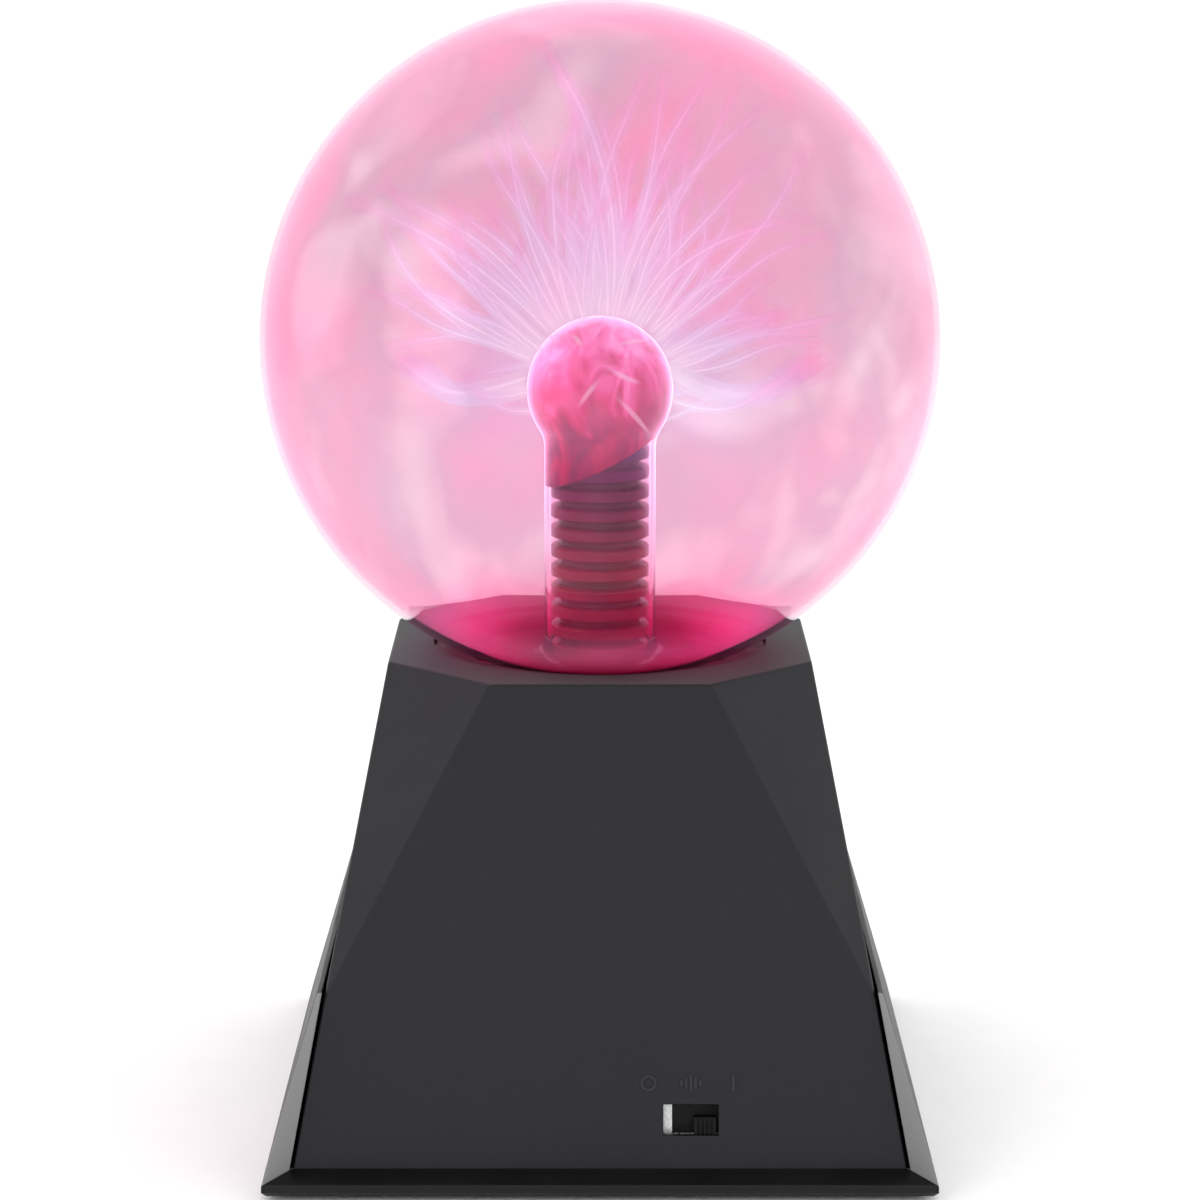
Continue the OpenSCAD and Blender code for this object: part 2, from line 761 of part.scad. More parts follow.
// The knob and the slide behind it, which always covers the slot. Drawn in the on position.
module switch_knob() {
    ridge_pitch = 2 * knob_half / ridges;
    slide_face = case_y + plate_t + 0.1;
    color([0.08, 0.08, 0.08]) at_switch() translate([knob_x, 0, 0]) difference() {
        union() {
            block([-knob_half, knob_face, knob_z - knob_half_h],
                [knob_half, slide_face + 0.1, knob_z + knob_half_h]);
            block([-slide_half, slide_face, -slide_half_h], [slide_half, slide_y, slide_half_h]);
        }
        for (i = [1:ridges - 1]) translate([i * ridge_pitch - knob_half, 0, knob_z])
            block([-0.24, knob_face - over, -knob_half_h - over], [0.24, knob_face + 0.6, knob_half_h + over]);
    }
}

module switch_wiper() {
    color("gold") at_switch() translate([knob_x, 0, 0]) difference() {
        block([-2.5, slide_y, -1.5], [2.5, cavity_end - 0.2, 1.5]);
        block([-2.1, slide_y + 0.4, -1.5 - over], [2.1, cavity_end, 1.5 + over]);
    }
}

glass_globe();
electrode_stem();
ribbed_sleeve();
contact_wool();
stem_plug();
hv_lead();
globe_gasket();
clamp_ring();
clamp_screws();
housing();
plinth();
rubber_feet();
base_screws();
circuit_board();
board_screws();
transformer_core();
transformer_base();
primary_winding();
hv_winding();
heatsink();
transistor();
heatsink_screw();
electrolytic_capacitors();
film_capacitor();
resistors();
control_chip();
microphone();
jack_body();
jack_pin();
jack_contact();
jack_nut();
jack_wires();
switch_case();
switch_base();
switch_terminals();
switch_screws();
switch_wires();
switch_knob();
switch_wiper();
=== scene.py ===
import math
import random

import bmesh
import bpy
from mathutils import Matrix, Vector


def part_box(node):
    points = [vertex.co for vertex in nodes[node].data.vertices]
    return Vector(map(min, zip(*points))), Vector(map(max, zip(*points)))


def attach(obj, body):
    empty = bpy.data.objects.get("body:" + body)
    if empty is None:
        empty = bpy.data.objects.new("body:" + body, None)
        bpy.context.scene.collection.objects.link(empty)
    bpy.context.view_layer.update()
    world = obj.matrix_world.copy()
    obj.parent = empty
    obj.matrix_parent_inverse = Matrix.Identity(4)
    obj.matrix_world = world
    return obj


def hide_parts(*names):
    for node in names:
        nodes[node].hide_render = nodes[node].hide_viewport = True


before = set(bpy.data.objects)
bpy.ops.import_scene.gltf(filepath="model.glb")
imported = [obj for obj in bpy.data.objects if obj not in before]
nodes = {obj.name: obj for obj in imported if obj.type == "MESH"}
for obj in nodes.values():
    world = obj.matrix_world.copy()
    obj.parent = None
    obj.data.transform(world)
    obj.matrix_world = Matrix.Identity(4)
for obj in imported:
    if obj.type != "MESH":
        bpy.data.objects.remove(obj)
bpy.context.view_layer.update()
mm = 0.001
print("frame loaded:", len(nodes), "CAD nodes")


def srgb(hexText, alpha=1.0):
    channels = [int(hexText[i:i + 2], 16) / 255 for i in (1, 3, 5)]
    linear = [c / 12.92 if c <= 0.04045 else ((c + 0.055) / 1.055) ** 2.4 for c in channels]
    return (*linear, alpha)


# Adds a node; inputs are values or sockets to link, stops are the (place, tone) pairs of a colour ramp
def addNode(tree, kind, inputs=None, stops=(), **settings):
    node = tree.nodes.new(kind)
    for name, value in settings.items():
        setattr(node, name, value)
    for key, value in (inputs or {}).items():
        if isinstance(value, bpy.types.NodeSocket):
            tree.links.new(value, node.inputs[key])
        else:
            node.inputs[key].default_value = value
    for i, (place, tone) in enumerate(stops):
        element = node.color_ramp.elements[i] if i < 2 else node.color_ramp.elements.new(1.0)
        element.position = place
        element.color = srgb(tone) if isinstance(tone, str) else (tone, tone, tone, 1)
    return node


def newMaterial(name):
    material = bpy.data.materials.new(name)
    material.use_nodes = True
    material.node_tree.nodes.clear()
    return material, material.node_tree


def placeMesh(name, mesh, smoothAngle=35):
    mesh.name = name
    mesh.shade_smooth()
    mesh.set_sharp_from_angle(angle=math.radians(smoothAngle))
    piece = bpy.data.objects.new(name, mesh)
    bpy.context.scene.collection.objects.link(piece)
    return piece


def finishPiece(piece, material, body, slotName, *replaced):
    piece.data.materials.clear()
    piece.data.materials.append(material)
    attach(piece, body)
    if replaced:
        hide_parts(*replaced)


def arc(centre, radius, startAngle, endAngle, steps):
    turn = [math.radians(startAngle + (endAngle - startAngle) * i / steps) for i in range(steps + 1)]
    return [(centre[0] + radius * math.cos(a), centre[1] + radius * math.sin(a)) for a in turn]


# Turns a line of (radius, height) points round the Z axis. Going up outside, faces point outwards.
def latheMesh(name, profile, segments, shift=(0, 0, 0)):
    vertices, rings, faces = [], [], []
    for radius, height in profile:
        if radius < 1e-6:
            rings.append([len(vertices)] * segments)
            vertices.append((shift[0], shift[1], height + shift[2]))
            continue
        rings.append(list(range(len(vertices), len(vertices) + segments)))
        for j in range(segments):
            a = 2 * math.pi * j / segments
            x, y = radius * math.cos(a), radius * math.sin(a)
            vertices.append((x + shift[0], y + shift[1], height + shift[2]))
    for low, high in zip(rings, rings[1:]):
        for j in range(segments):
            k = (j + 1) % segments
            corners = [low[j], low[k], high[k], high[j]]
            face = [v for i, v in enumerate(corners) if v not in corners[:i]]
            if len(face) > 2:
                faces.append(face)
    mesh = bpy.data.meshes.new(name)
    mesh.from_pydata(vertices, [], faces)
    mesh.update()
    return mesh


def joinMeshes(name, meshes):
    bm = bmesh.new()
    for mesh in meshes:
        bm.from_mesh(mesh)
    joined = bpy.data.meshes.new(name)
    bm.to_mesh(joined)
    bm.free()
    return joined


def newGeometryTree(name, sockets):
    tree = bpy.data.node_groups.new(name, "GeometryNodeTree")
    tree.interface.new_socket("Geometry", in_out="INPUT", socket_type="NodeSocketGeometry")
    for label, kind in sockets:
        tree.interface.new_socket(label, in_out="INPUT", socket_type=kind)
    tree.interface.new_socket("Geometry", in_out="OUTPUT", socket_type="NodeSocketGeometry")
    return tree, addNode(tree, "NodeGroupInput").outputs


def endGeometryTree(tree, geometry, material):
    solid = addNode(tree, "GeometryNodeRealizeInstances", {"Geometry": geometry})
    painted = addNode(tree, "GeometryNodeSetMaterial", {"Geometry": solid.outputs[0], "Material": material})
    addNode(tree, "NodeGroupOutput", {"Geometry": painted.outputs[0]})


# Runs a tree on a start object and keeps only the plain mesh that comes out
def growMesh(name, start, tree, values, smoothAngle=35):
    if start.name not in bpy.context.scene.collection.objects:
        bpy.context.scene.collection.objects.link(start)
    modifier = start.modifiers.new("grow", "NODES")
    modifier.node_group = tree
    for item in tree.interface.items_tree:
        if item.item_type == "SOCKET" and item.in_out == "INPUT" and item.name in values:
            modifier[item.identifier] = values[item.name]
    start.update_tag()
    view = bpy.context.evaluated_depsgraph_get()
    view.update()
    mesh = bpy.data.meshes.new_from_object(start.evaluated_get(view), depsgraph=view)
    bpy.data.objects.remove(start)
    return placeMesh(name, mesh, smoothAngle)


camera = {"distance": 0.8, "height": 0.2763, "tiltDown": 11.37, "lens": 109.3}
studio = {"sky": "#ffffff", "skyStrength": 1.14, "floorSize": 40.0, "aim": (0, 0, 0.13),
          "paper": ("#f8f8f8", "#fbfbfb"), "fibreMm": 16.67, "bounces": 16, "clearLayers": 64}
softboxes = [
    {"name": "keySoftbox", "at": (-0.95, -0.9, 1.25), "size": (0.8, 0.8), "watts": 3.5},
    {"name": "sideSoftbox", "at": (1.15, -0.35, 0.45), "size": (0.4, 0.9), "watts": 2.4},
    {"name": "backSoftbox", "at": (0.2, 1.1, 0.9), "size": (1.0, 0.5), "watts": 2},
]

gasLight = {"at": (-0.050, -0.010, 0.178), "watts": 0.07, "radius": 0.0035, "colour": "#ffe9f2"}  # on the bulb


def makeCamera():
    data = bpy.data.cameras.new("deskCamera")
    data.lens = camera["lens"]
    data.clip_start = 0.01
    eye = bpy.data.objects.new("deskCamera", data)
    eye.location = (0, -camera["distance"], camera["height"])
    eye.rotation_euler = (math.radians(90 - camera["tiltDown"]), 0, 0)
    bpy.context.scene.collection.objects.link(eye)
    bpy.context.scene.camera = eye


def makeStudio():
    scene = bpy.context.scene
    scene.view_settings.view_transform = "Standard"
    scene.cycles.transparent_max_bounces = studio["clearLayers"]  # many thin glowing layers lie behind each other
    scene.cycles.max_bounces = scene.cycles.transmission_bounces = studio["bounces"]
    world = bpy.data.worlds.new("studioRoom")
    world.use_nodes = True
    world.node_tree.nodes.clear()
    sky = addNode(world.node_tree, "ShaderNodeBackground",
                  {"Color": srgb(studio["sky"]), "Strength": studio["skyStrength"]})
    addNode(world.node_tree, "ShaderNodeOutputWorld", {"Surface": sky.outputs[0]})
    scene.world = world
    for box in softboxes:
        lamp = bpy.data.lights.new(box["name"], "AREA")
        lamp.shape = "RECTANGLE"
        lamp.size, lamp.size_y = box["size"]
        lamp.energy = box["watts"]
        holder = bpy.data.objects.new(box["name"], lamp)
        holder.location = box["at"]
        holder.visible_glossy = holder.visible_transmission = False  # no window-shaped highlights in the globe
        holder.rotation_euler = (Vector(studio["aim"]) - holder.location).to_track_quat("-Z", "Y").to_euler()
        scene.collection.objects.link(holder)
    spark = bpy.data.lights.new("gasLight", "POINT")
    spark.energy, spark.shadow_soft_size = gasLight["watts"], gasLight["radius"]
    spark.color = srgb(gasLight["colour"])[:3]
    holder = bpy.data.objects.new("gasLight", spark)
    holder.location = gasLight["at"]
    holder.visible_transmission = False
    scene.collection.objects.link(holder)
    half = studio["floorSize"] / 2
    mesh = bpy.data.meshes.new("paperFloor")
    corners = [(-half, -half, 0), (half, -half, 0), (half, half, 0), (-half, half, 0)]
    mesh.from_pydata(corners, [], [(0, 1, 2, 3)])
    floor = placeMesh("paperFloor", mesh)
    material, tree = newMaterial("seamlessPaper")  # matt, very slightly mottled
    place = addNode(tree, "ShaderNodeTexCoord")
    fibre = addNode(tree, "ShaderNodeTexNoise",
                    {"Vector": place.outputs["Object"], "Scale": 1 / (studio["fibreMm"] * mm)})
    tone = addNode(tree, "ShaderNodeValToRGB", {"Fac": fibre.outputs["Fac"]},
                   stops=list(zip((0.3, 0.7), studio["paper"]))).outputs["Color"]
    paper = addNode(tree, "ShaderNodeBsdfPrincipled", {"Base Color": tone, "Roughness": 0.9})
    addNode(tree, "ShaderNodeOutputMaterial", {"Surface": paper.outputs[0]})
    mesh.materials.append(material)


makeCamera()
makeStudio()
print("camera, floor and light made")


# A solid finish: two close tones in soft patches, uneven gloss and a fine surface grain.
# patchMm and grainMm are the sizes of the patches and of the grain; relief is the grain's height.
def solidFinish(name, tones, roughness, metallic=0.0, patchMm=6.0, grainMm=0.4, relief=0.01, shine=0.5):
    material, tree = newMaterial(name)
    place = addNode(tree, "ShaderNodeTexCoord").outputs["Object"]
    patches = addNode(tree, "ShaderNodeTexNoise",
                      {"Vector": place, "Scale": 1 / (patchMm * mm), "Detail": 3.0}).outputs["Fac"]
    grain = addNode(tree, "ShaderNodeTexNoise", {"Vector": place, "Scale": 1 / (grainMm * mm), "Detail": 2.0})
    tone = addNode(tree, "ShaderNodeValToRGB", {"Fac": patches}, stops=list(zip((0.35, 0.65), tones)))
    gloss = addNode(tree, "ShaderNodeMapRange", {"Value": patches, "From Min": 0.3, "From Max": 0.7,
                                                 "To Min": roughness - 0.08, "To Max": roughness + 0.08})
    bump = addNode(tree, "ShaderNodeBump", {"Height": grain.outputs["Fac"], "Distance": relief * mm})
    shader = addNode(tree, "ShaderNodeBsdfPrincipled",
                     {"Base Color": tone.outputs["Color"], "Roughness": gloss.outputs[0], "Metallic": metallic,
                      "Specular IOR Level": shine, "Normal": bump.outputs[0]})
    addNode(tree, "ShaderNodeOutputMaterial", {"Surface": shader.outputs[0]})
    return material


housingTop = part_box("housing")[1].z
housingShape = {"topHalf": 46.2 * mm, "seat": 5.4 * mm, "lean": (65.26 - 46.2) / (106.5 - 5.4)}  # lean: out per down
# The top tone is painted light: a grey lighter than the sides, tinted green to cancel the pink glow on the top
housingLook = {"tones": ("#0b0b11", "#111118"), "paintedTopTone": "#3e4b47", "markTone": "#26262b", "patchMm": 18.18,
               "grainMm": 0.45, "relief": 0.06, "roughness": 0.56, "topRoughness": 0.5, "shine": 0.4, "topShine": 0.1}


# ABS moulded in a spark-eroded tool: satin grain on the sides, a smooth polished top face,
# and the raised marks over the switch worn a little paler. The top face's tone is painted light: a grey
# lighter than the sides that stands in for its reflections, tinted green to cancel the pink glow falling on it
def texturedAbs():
    look = housingLook
    material, tree = newMaterial("sparkTexturedAbs")
    place = addNode(tree, "ShaderNodeTexCoord").outputs["Object"]
    patches = addNode(tree, "ShaderNodeTexNoise",
                      {"Vector": place, "Scale": 1 / (look["patchMm"] * mm), "Detail": 4.0}).outputs["Fac"]
    grain = addNode(tree, "ShaderNodeTexNoise",  # the real grain is about 0.15 mm; drawn coarser so that it shows
                    {"Vector": place, "Scale": 1 / (look["grainMm"] * mm), "Detail": 3.0, "Roughness": 0.6})
    height = addNode(tree, "ShaderNodeSeparateXYZ", {"Vector": place}).outputs["Z"]
    top = addNode(tree, "ShaderNodeMapRange", {"Value": height, "From Min": housingTop - 0.2 * mm,
                                               "From Max": housingTop - 0.05 * mm}).outputs[0]
    side = addNode(tree, "ShaderNodeMath", {0: 1.0, 1: top}, operation="SUBTRACT")
    tone = addNode(tree, "ShaderNodeValToRGB", {"Fac": patches}, stops=list(zip((0.3, 0.7), look["tones"])))
    sideGloss = addNode(tree, "ShaderNodeMapRange", {"Value": patches, "From Min": 0.3, "From Max": 0.7,
                                                     "To Min": look["roughness"] - 0.05,
                                                     "To Max": look["roughness"] + 0.05})
    gloss = addNode(tree, "ShaderNodeMix", {"Factor": top, "A": sideGloss.outputs[0], "B": look["topRoughness"]})
    shine = addNode(tree, "ShaderNodeMix", {"Factor": top, "A": look["shine"], "B": look["topShine"]})
    bump = addNode(tree, "ShaderNodeBump", {"Height": grain.outputs["Fac"], "Strength": side.outputs[0],
                                            "Distance": look["relief"] * mm})
    lean = housingShape["lean"]
    skin = housingShape["topHalf"] + housingTop * lean
    outward = addNode(tree, "ShaderNodeVectorMath", {0: place, 1: (0, -1, lean)}, operation="DOT_PRODUCT")
    raised = addNode(tree, "ShaderNodeMapRange", {"Value": outward.outputs["Value"], "From Min": skin + 0.03 * mm,
                                                  "From Max": skin + 0.1 * mm})
    marked = addNode(tree, "ShaderNodeMix", {"Factor": raised.outputs[0], "A": tone.outputs["Color"],
                                             "B": srgb(look["markTone"])}, data_type="RGBA")
    # painted light: the top face takes the greenish grey tone
    both = addNode(tree, "ShaderNodeMix", {"Factor": top, "A": marked.outputs[2], "B": srgb(look["paintedTopTone"])},
                   data_type="RGBA")
    shader = addNode(tree, "ShaderNodeBsdfPrincipled",
                     {"Base Color": both.outputs[2], "Roughness": gloss.outputs[0],
                      "Specular IOR Level": shine.outputs[0], "Normal": bump.outputs[0]})
    addNode(tree, "ShaderNodeOutputMaterial", {"Surface": shader.outputs[0]})
    return material


# The last three entries paint a reflection on the cheeks' mitred ends, paler higher up
plinthLook = {"tones": ("#060607", "#0a0a0b"), "patchMm": 16.67, "scuffMm": 0.556, "relief": 0.012, "roughness": 0.45,
              "shine": 0.3, "uprightTop": 3.8 * mm,
              "mitreSheenLow": 4 * mm, "mitreSheenHigh": 42 * mm, "mitreSheenTones": ("#858586", "#8a8a8b", "#8e8e8f")}


# ABS from a smooth tool: dark and satin. The cheeks' mitred ends, which lie on the diagonals,
# carry a painted reflection of the bright room: much paler than the rest, and paler higher up
def satinAbs():
    look = plinthLook
    material, tree = newMaterial("satinAbs")
    place = addNode(tree, "ShaderNodeTexCoord").outputs["Object"]
    patches = addNode(tree, "ShaderNodeTexNoise",
                      {"Vector": place, "Scale": 1 / (look["patchMm"] * mm), "Detail": 3.0}).outputs["Fac"]
    scuffs = addNode(tree, "ShaderNodeTexNoise",
                     {"Vector": place, "Scale": 1 / (look["scuffMm"] * mm), "Detail": 2.0})
    tone = addNode(tree, "ShaderNodeValToRGB", {"Fac": patches}, stops=list(zip((0.35, 0.65), look["tones"])))
    folded = addNode(tree, "ShaderNodeVectorMath", {0: place}, operation="ABSOLUTE")
    parts = addNode(tree, "ShaderNodeSeparateXYZ", {"Vector": folded.outputs[0]})
    off = addNode(tree, "ShaderNodeMath", {0: parts.outputs["X"], 1: parts.outputs["Y"]}, operation="SUBTRACT")
    off = addNode(tree, "ShaderNodeMath", {0: off.outputs[0]}, operation="ABSOLUTE")
    above = addNode(tree, "ShaderNodeMapRange", {"Value": parts.outputs["Z"], "From Min": look["uprightTop"],
                                                 "From Max": look["uprightTop"] + 0.1 * mm})
    # painted reflection: the mitred ends above the upright's top, in tones that grow paler higher up
    mitre = addNode(tree, "ShaderNodeMapRange", {"Value": off.outputs[0], "From Min": 0.08 * mm,
                                                 "From Max": 0.16 * mm, "To Min": above.outputs[0], "To Max": 0.0})
    level = addNode(tree, "ShaderNodeMapRange", {"Value": parts.outputs["Z"], "From Min": look["mitreSheenLow"],
                                                 "From Max": look["mitreSheenHigh"]})
    mitreSheen = addNode(tree, "ShaderNodeValToRGB", {"Fac": level.outputs[0]},
                     stops=list(zip((0.0, 0.5, 1.0), look["mitreSheenTones"])))
    toned = addNode(tree, "ShaderNodeMix", {"Factor": mitre.outputs[0], "A": tone.outputs["Color"],
                                            "B": mitreSheen.outputs["Color"]}, data_type="RGBA")
    gloss = addNode(tree, "ShaderNodeMapRange", {"Value": patches, "From Min": 0.3, "From Max": 0.7,
                                                 "To Min": look["roughness"] - 0.05,
                                                 "To Max": look["roughness"] + 0.05})
    bump = addNode(tree, "ShaderNodeBump", {"Height": scuffs.outputs["Fac"], "Distance": look["relief"] * mm})
    shader = addNode(tree, "ShaderNodeBsdfPrincipled",
                     {"Base Color": toned.outputs[2], "Roughness": gloss.outputs[0],
                      "Specular IOR Level": look["shine"], "Normal": bump.outputs[0]})
    addNode(tree, "ShaderNodeOutputMaterial", {"Surface": shader.outputs[0]})
    return material


# In these looks the glass colour is the gas's glow painted in, with a painted pink tone and glow on the edge-on wall
# and, for the globe, a painted violet shade low down
glassLook = {"ior": 1.22, "waveMm": 38.0, "waveHeight": 0.03, "tintMm": 46.0,
             "glowTints": ("#fdf0f6", "#e8d0dd", "#f1ccdd", "#fcc2da"), "limbGlowTone": "#f08ab8", "limbGlow": "#ff6fb0",
             "limbStrength": 0.3, "footEdgeTone": "#5a2a78", "foot": 106 * mm, "footRise": 16 * mm, "glowRise": 40 * mm}
# The electrode's glass is paler, with a strong painted pink-white glow on its edge-on wall, the bulb's bright outline
stemLook = {**glassLook, "glowTints": ("#fff6fb", "#ffe6f2"), "limbGlowTone": "#ffb9e0", "limbGlow": "#ffd2f4",
            "limbStrength": 3.2, "footEdgeTone": "#ffb9e0", "foot": 118 * mm}
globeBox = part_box("glass_globe")
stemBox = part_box("electrode_stem")
bulbCentre = Vector((0, 0, stemBox[1].z - 16.2 * mm))


# Soda glass blown in a mould: long soft waves, with the gas's glow painted into its colour as drifting
# pink patches, deepest where the wall is seen edge on, where a painted pink glow fades out towards the foot
# and the globe's wall near the foot takes a painted violet shade; it lets lamps reach what is inside.
# The index is lower than the real 1.5, so that the wall doesn't turn white.
def blownGlass(name, look):
    material, tree = newMaterial(name)
    glowTints = look["glowTints"]
    place = addNode(tree, "ShaderNodeTexCoord").outputs["Object"]
    wave = addNode(tree, "ShaderNodeTexNoise", {"Vector": place, "Scale": 1 / (look["waveMm"] * mm), "Detail": 0.0})
    bump = addNode(tree, "ShaderNodeBump", {"Height": wave.outputs["Fac"], "Distance": look["waveHeight"] * mm})
    patches = addNode(tree, "ShaderNodeTexNoise", {"Vector": place, "Scale": 1 / (look["tintMm"] * mm),
                                                   "Detail": 2.5, "Roughness": 0.5, "Distortion": 0.5})
    # painted light: the gas's glow as drifting pink patches in the glass colour, which also tints what reaches inside
    steps = [0.32 + 0.36 * i / (len(glowTints) - 1) for i in range(len(glowTints))]
    glowTint = addNode(tree, "ShaderNodeValToRGB", {"Fac": patches.outputs["Fac"]},
                   stops=list(zip(steps, glowTints))).outputs["Color"]
    edge = addNode(tree, "ShaderNodeLayerWeight", {"Blend": 0.5})
    deep = addNode(tree, "ShaderNodeMath", {0: edge.outputs["Facing"], 1: 4.0}, operation="POWER").outputs[0]
    height = addNode(tree, "ShaderNodeSeparateXYZ", {"Vector": place}).outputs["Z"]
    low = addNode(tree, "ShaderNodeMapRange", {"Value": height, "From Min": look["foot"],
                                               "From Max": look["foot"] + look["footRise"]})
    # painted: the edge-on wall's tone, the foot tone low down (for the globe a dark violet shade) and a pink tone
    # higher up
    limb = addNode(tree, "ShaderNodeMix", {"Factor": low.outputs[0], "A": srgb(look["footEdgeTone"]),
                                           "B": srgb(look["limbGlowTone"])}, data_type="RGBA")
    glowPainted = addNode(tree, "ShaderNodeMix", {"Factor": deep, "A": glowTint, "B": limb.outputs[2]}, data_type="RGBA")
    # painted glow along the edge-on wall, fading out towards the foot
    upper = addNode(tree, "ShaderNodeMapRange", {"Value": height, "From Min": look["foot"],
                                                 "From Max": look["foot"] + look["glowRise"],
                                                 "To Max": look["limbStrength"]})
    lit = addNode(tree, "ShaderNodeMath", {0: deep, 1: upper.outputs[0]}, operation="MULTIPLY")
    glass = addNode(tree, "ShaderNodeBsdfPrincipled",
                    {"Base Color": glowPainted.outputs[2], "Roughness": 0.0, "IOR": look["ior"], "Transmission Weight": 1.0,
                     "Emission Color": srgb(look["limbGlow"]), "Emission Strength": lit.outputs[0],
                     "Normal": bump.outputs[0]})
    clear = addNode(tree, "ShaderNodeBsdfTransparent", {"Color": glowTint})
    ray = addNode(tree, "ShaderNodeLightPath").outputs["Is Shadow Ray"]
    both = addNode(tree, "ShaderNodeMixShader", {0: ray, 1: glass.outputs[0], 2: clear.outputs[0]})
    addNode(tree, "ShaderNodeOutputMaterial", {"Surface": both.outputs[0]})
    return material


# The pool entries paint the glow on the seat and the glass floor as a dense crimson sheet low in the gas
gasLook = {"cloudMm": 34.0, "thin": 0.01, "thick": 0.08, "tones": ("#c48fab", "#ee86b2", "#fb83b8", "#ff5fa6"),
           "skinTone": "#ffc4f0", "skinSolid": 0.1, "skinFrom": 17.5 * mm, "skinTo": 24 * mm,
           "poolTones": ("#5c0420", "#960a3a", "#e42c74", "#ff5aa2", "#ff9cce"), "poolPower": 2.2, "poolSolid": 0.66,
           "poolLow": 104 * mm, "poolHigh": 121 * mm, "poolInner": 12 * mm, "poolOuter": 46 * mm}


# Low-pressure neon mix, glowing: drifting pink clouds, a violet-white skin at the electrode
# and, low down, a deep crimson pool of painted light: the glow on the dark seat and the glass floor,
# painted as a dense sheet of the gas, darker towards the stem. It is clear close to the stem.
def glowingGas():
    look = gasLook
    material, tree = newMaterial("glowingNeonMix")
    place = addNode(tree, "ShaderNodeTexCoord").outputs["Object"]
    scale = 1 / (look["cloudMm"] * mm)
    clouds = addNode(tree, "ShaderNodeTexNoise",
                     {"Vector": place, "Scale": scale, "Detail": 3.0, "Roughness": 0.5, "Distortion": 0.8})
    moved = addNode(tree, "ShaderNodeMapping", {"Vector": place, "Location": (0.31, 0.17, 0.4)})
    colours = addNode(tree, "ShaderNodeTexNoise",
                      {"Vector": moved.outputs[0], "Scale": scale * 0.8, "Detail": 4.0, "Distortion": 1.2})
    tone = addNode(tree, "ShaderNodeValToRGB", {"Fac": colours.outputs["Fac"]},
                   stops=list(zip((0.34, 0.46, 0.58, 0.68), look["tones"])))
    share = addNode(tree, "ShaderNodeMapRange", {"Value": clouds.outputs["Fac"], "From Min": 0.36, "From Max": 0.64,
                                                 "To Min": look["thin"], "To Max": look["thick"]})
    height = addNode(tree, "ShaderNodeSeparateXYZ", {"Vector": place}).outputs["Z"]
    # painted light: low down the gas becomes a dense crimson sheet, darker towards the stem
    pool = addNode(tree, "ShaderNodeMapRange", {"Value": height, "From Min": look["poolLow"],
                                                "From Max": look["poolHigh"], "To Min": 1.0, "To Max": 0.0},
                   interpolation_type="SMOOTHSTEP").outputs[0]
    reach = addNode(tree, "ShaderNodeVectorMath", {0: place, 1: bulbCentre}, operation="DISTANCE")
    skin = addNode(tree, "ShaderNodeMapRange", {"Value": reach.outputs["Value"], "From Min": look["skinFrom"],
                                                "From Max": look["skinTo"], "To Min": 1.0, "To Max": 0.0}).outputs[0]
    flat = addNode(tree, "ShaderNodeVectorMath", {0: place, 1: (1, 0.55, 0)}, operation="MULTIPLY")
    out = addNode(tree, "ShaderNodeVectorMath", {0: flat.outputs[0]}, operation="LENGTH")
    spread = addNode(tree, "ShaderNodeMapRange", {"Value": out.outputs["Value"], "From Min": look["poolInner"],
                                                  "From Max": look["poolOuter"]})
    poolTone = addNode(tree, "ShaderNodeValToRGB", {"Fac": spread.outputs[0]},
                       stops=list(zip((0.0, 0.25, 0.5, 0.7, 1.0), look["poolTones"])))
    pooled = addNode(tree, "ShaderNodeMix", {"Factor": pool, "A": tone.outputs["Color"],
                                             "B": poolTone.outputs["Color"]}, data_type="RGBA")
    toned = addNode(tree, "ShaderNodeMix", {"Factor": skin, "A": pooled.outputs[2], "B": srgb(look["skinTone"])},
                    data_type="RGBA")
    level = addNode(tree, "ShaderNodeVectorMath", {0: place, 1: (1, 1, 0)}, operation="MULTIPLY")
    radial = addNode(tree, "ShaderNodeVectorMath", {0: level.outputs[0]}, operation="LENGTH").outputs["Value"]
    away = addNode(tree, "ShaderNodeMapRange", {"Value": radial, "From Min": 17 * mm, "From Max": 20 * mm})
    upper = addNode(tree, "ShaderNodeMath", {0: share.outputs[0], 1: away.outputs[0]}, operation="MULTIPLY")
    deep = addNode(tree, "ShaderNodeMix", {"Factor": pool, "A": upper.outputs[0], "B": look["poolSolid"]})
    beyondStem = addNode(tree, "ShaderNodeMapRange", {"Value": radial, "From Min": 12.9 * mm, "From Max": 14.5 * mm})
    clearWall = addNode(tree, "ShaderNodeMath", {0: deep.outputs[0], 1: beyondStem.outputs[0]}, operation="MULTIPLY")
    solid = addNode(tree, "ShaderNodeMix", {"Factor": skin, "A": clearWall.outputs[0], "B": look["skinSolid"]})
    power = addNode(tree, "ShaderNodeMapRange", {"Value": pool, "To Min": 1.0, "To Max": look["poolPower"]})
    clear = addNode(tree, "ShaderNodeBsdfTransparent")
    light = addNode(tree, "ShaderNodeEmission", {"Color": toned.outputs[2], "Strength": power.outputs[0]})
    both = addNode(tree, "ShaderNodeMixShader", {0: solid.outputs[0], 1: clear.outputs[0], 2: light.outputs[0]})
    addNode(tree, "ShaderNodeOutputMaterial", {"Surface": both.outputs[0]})
    return material


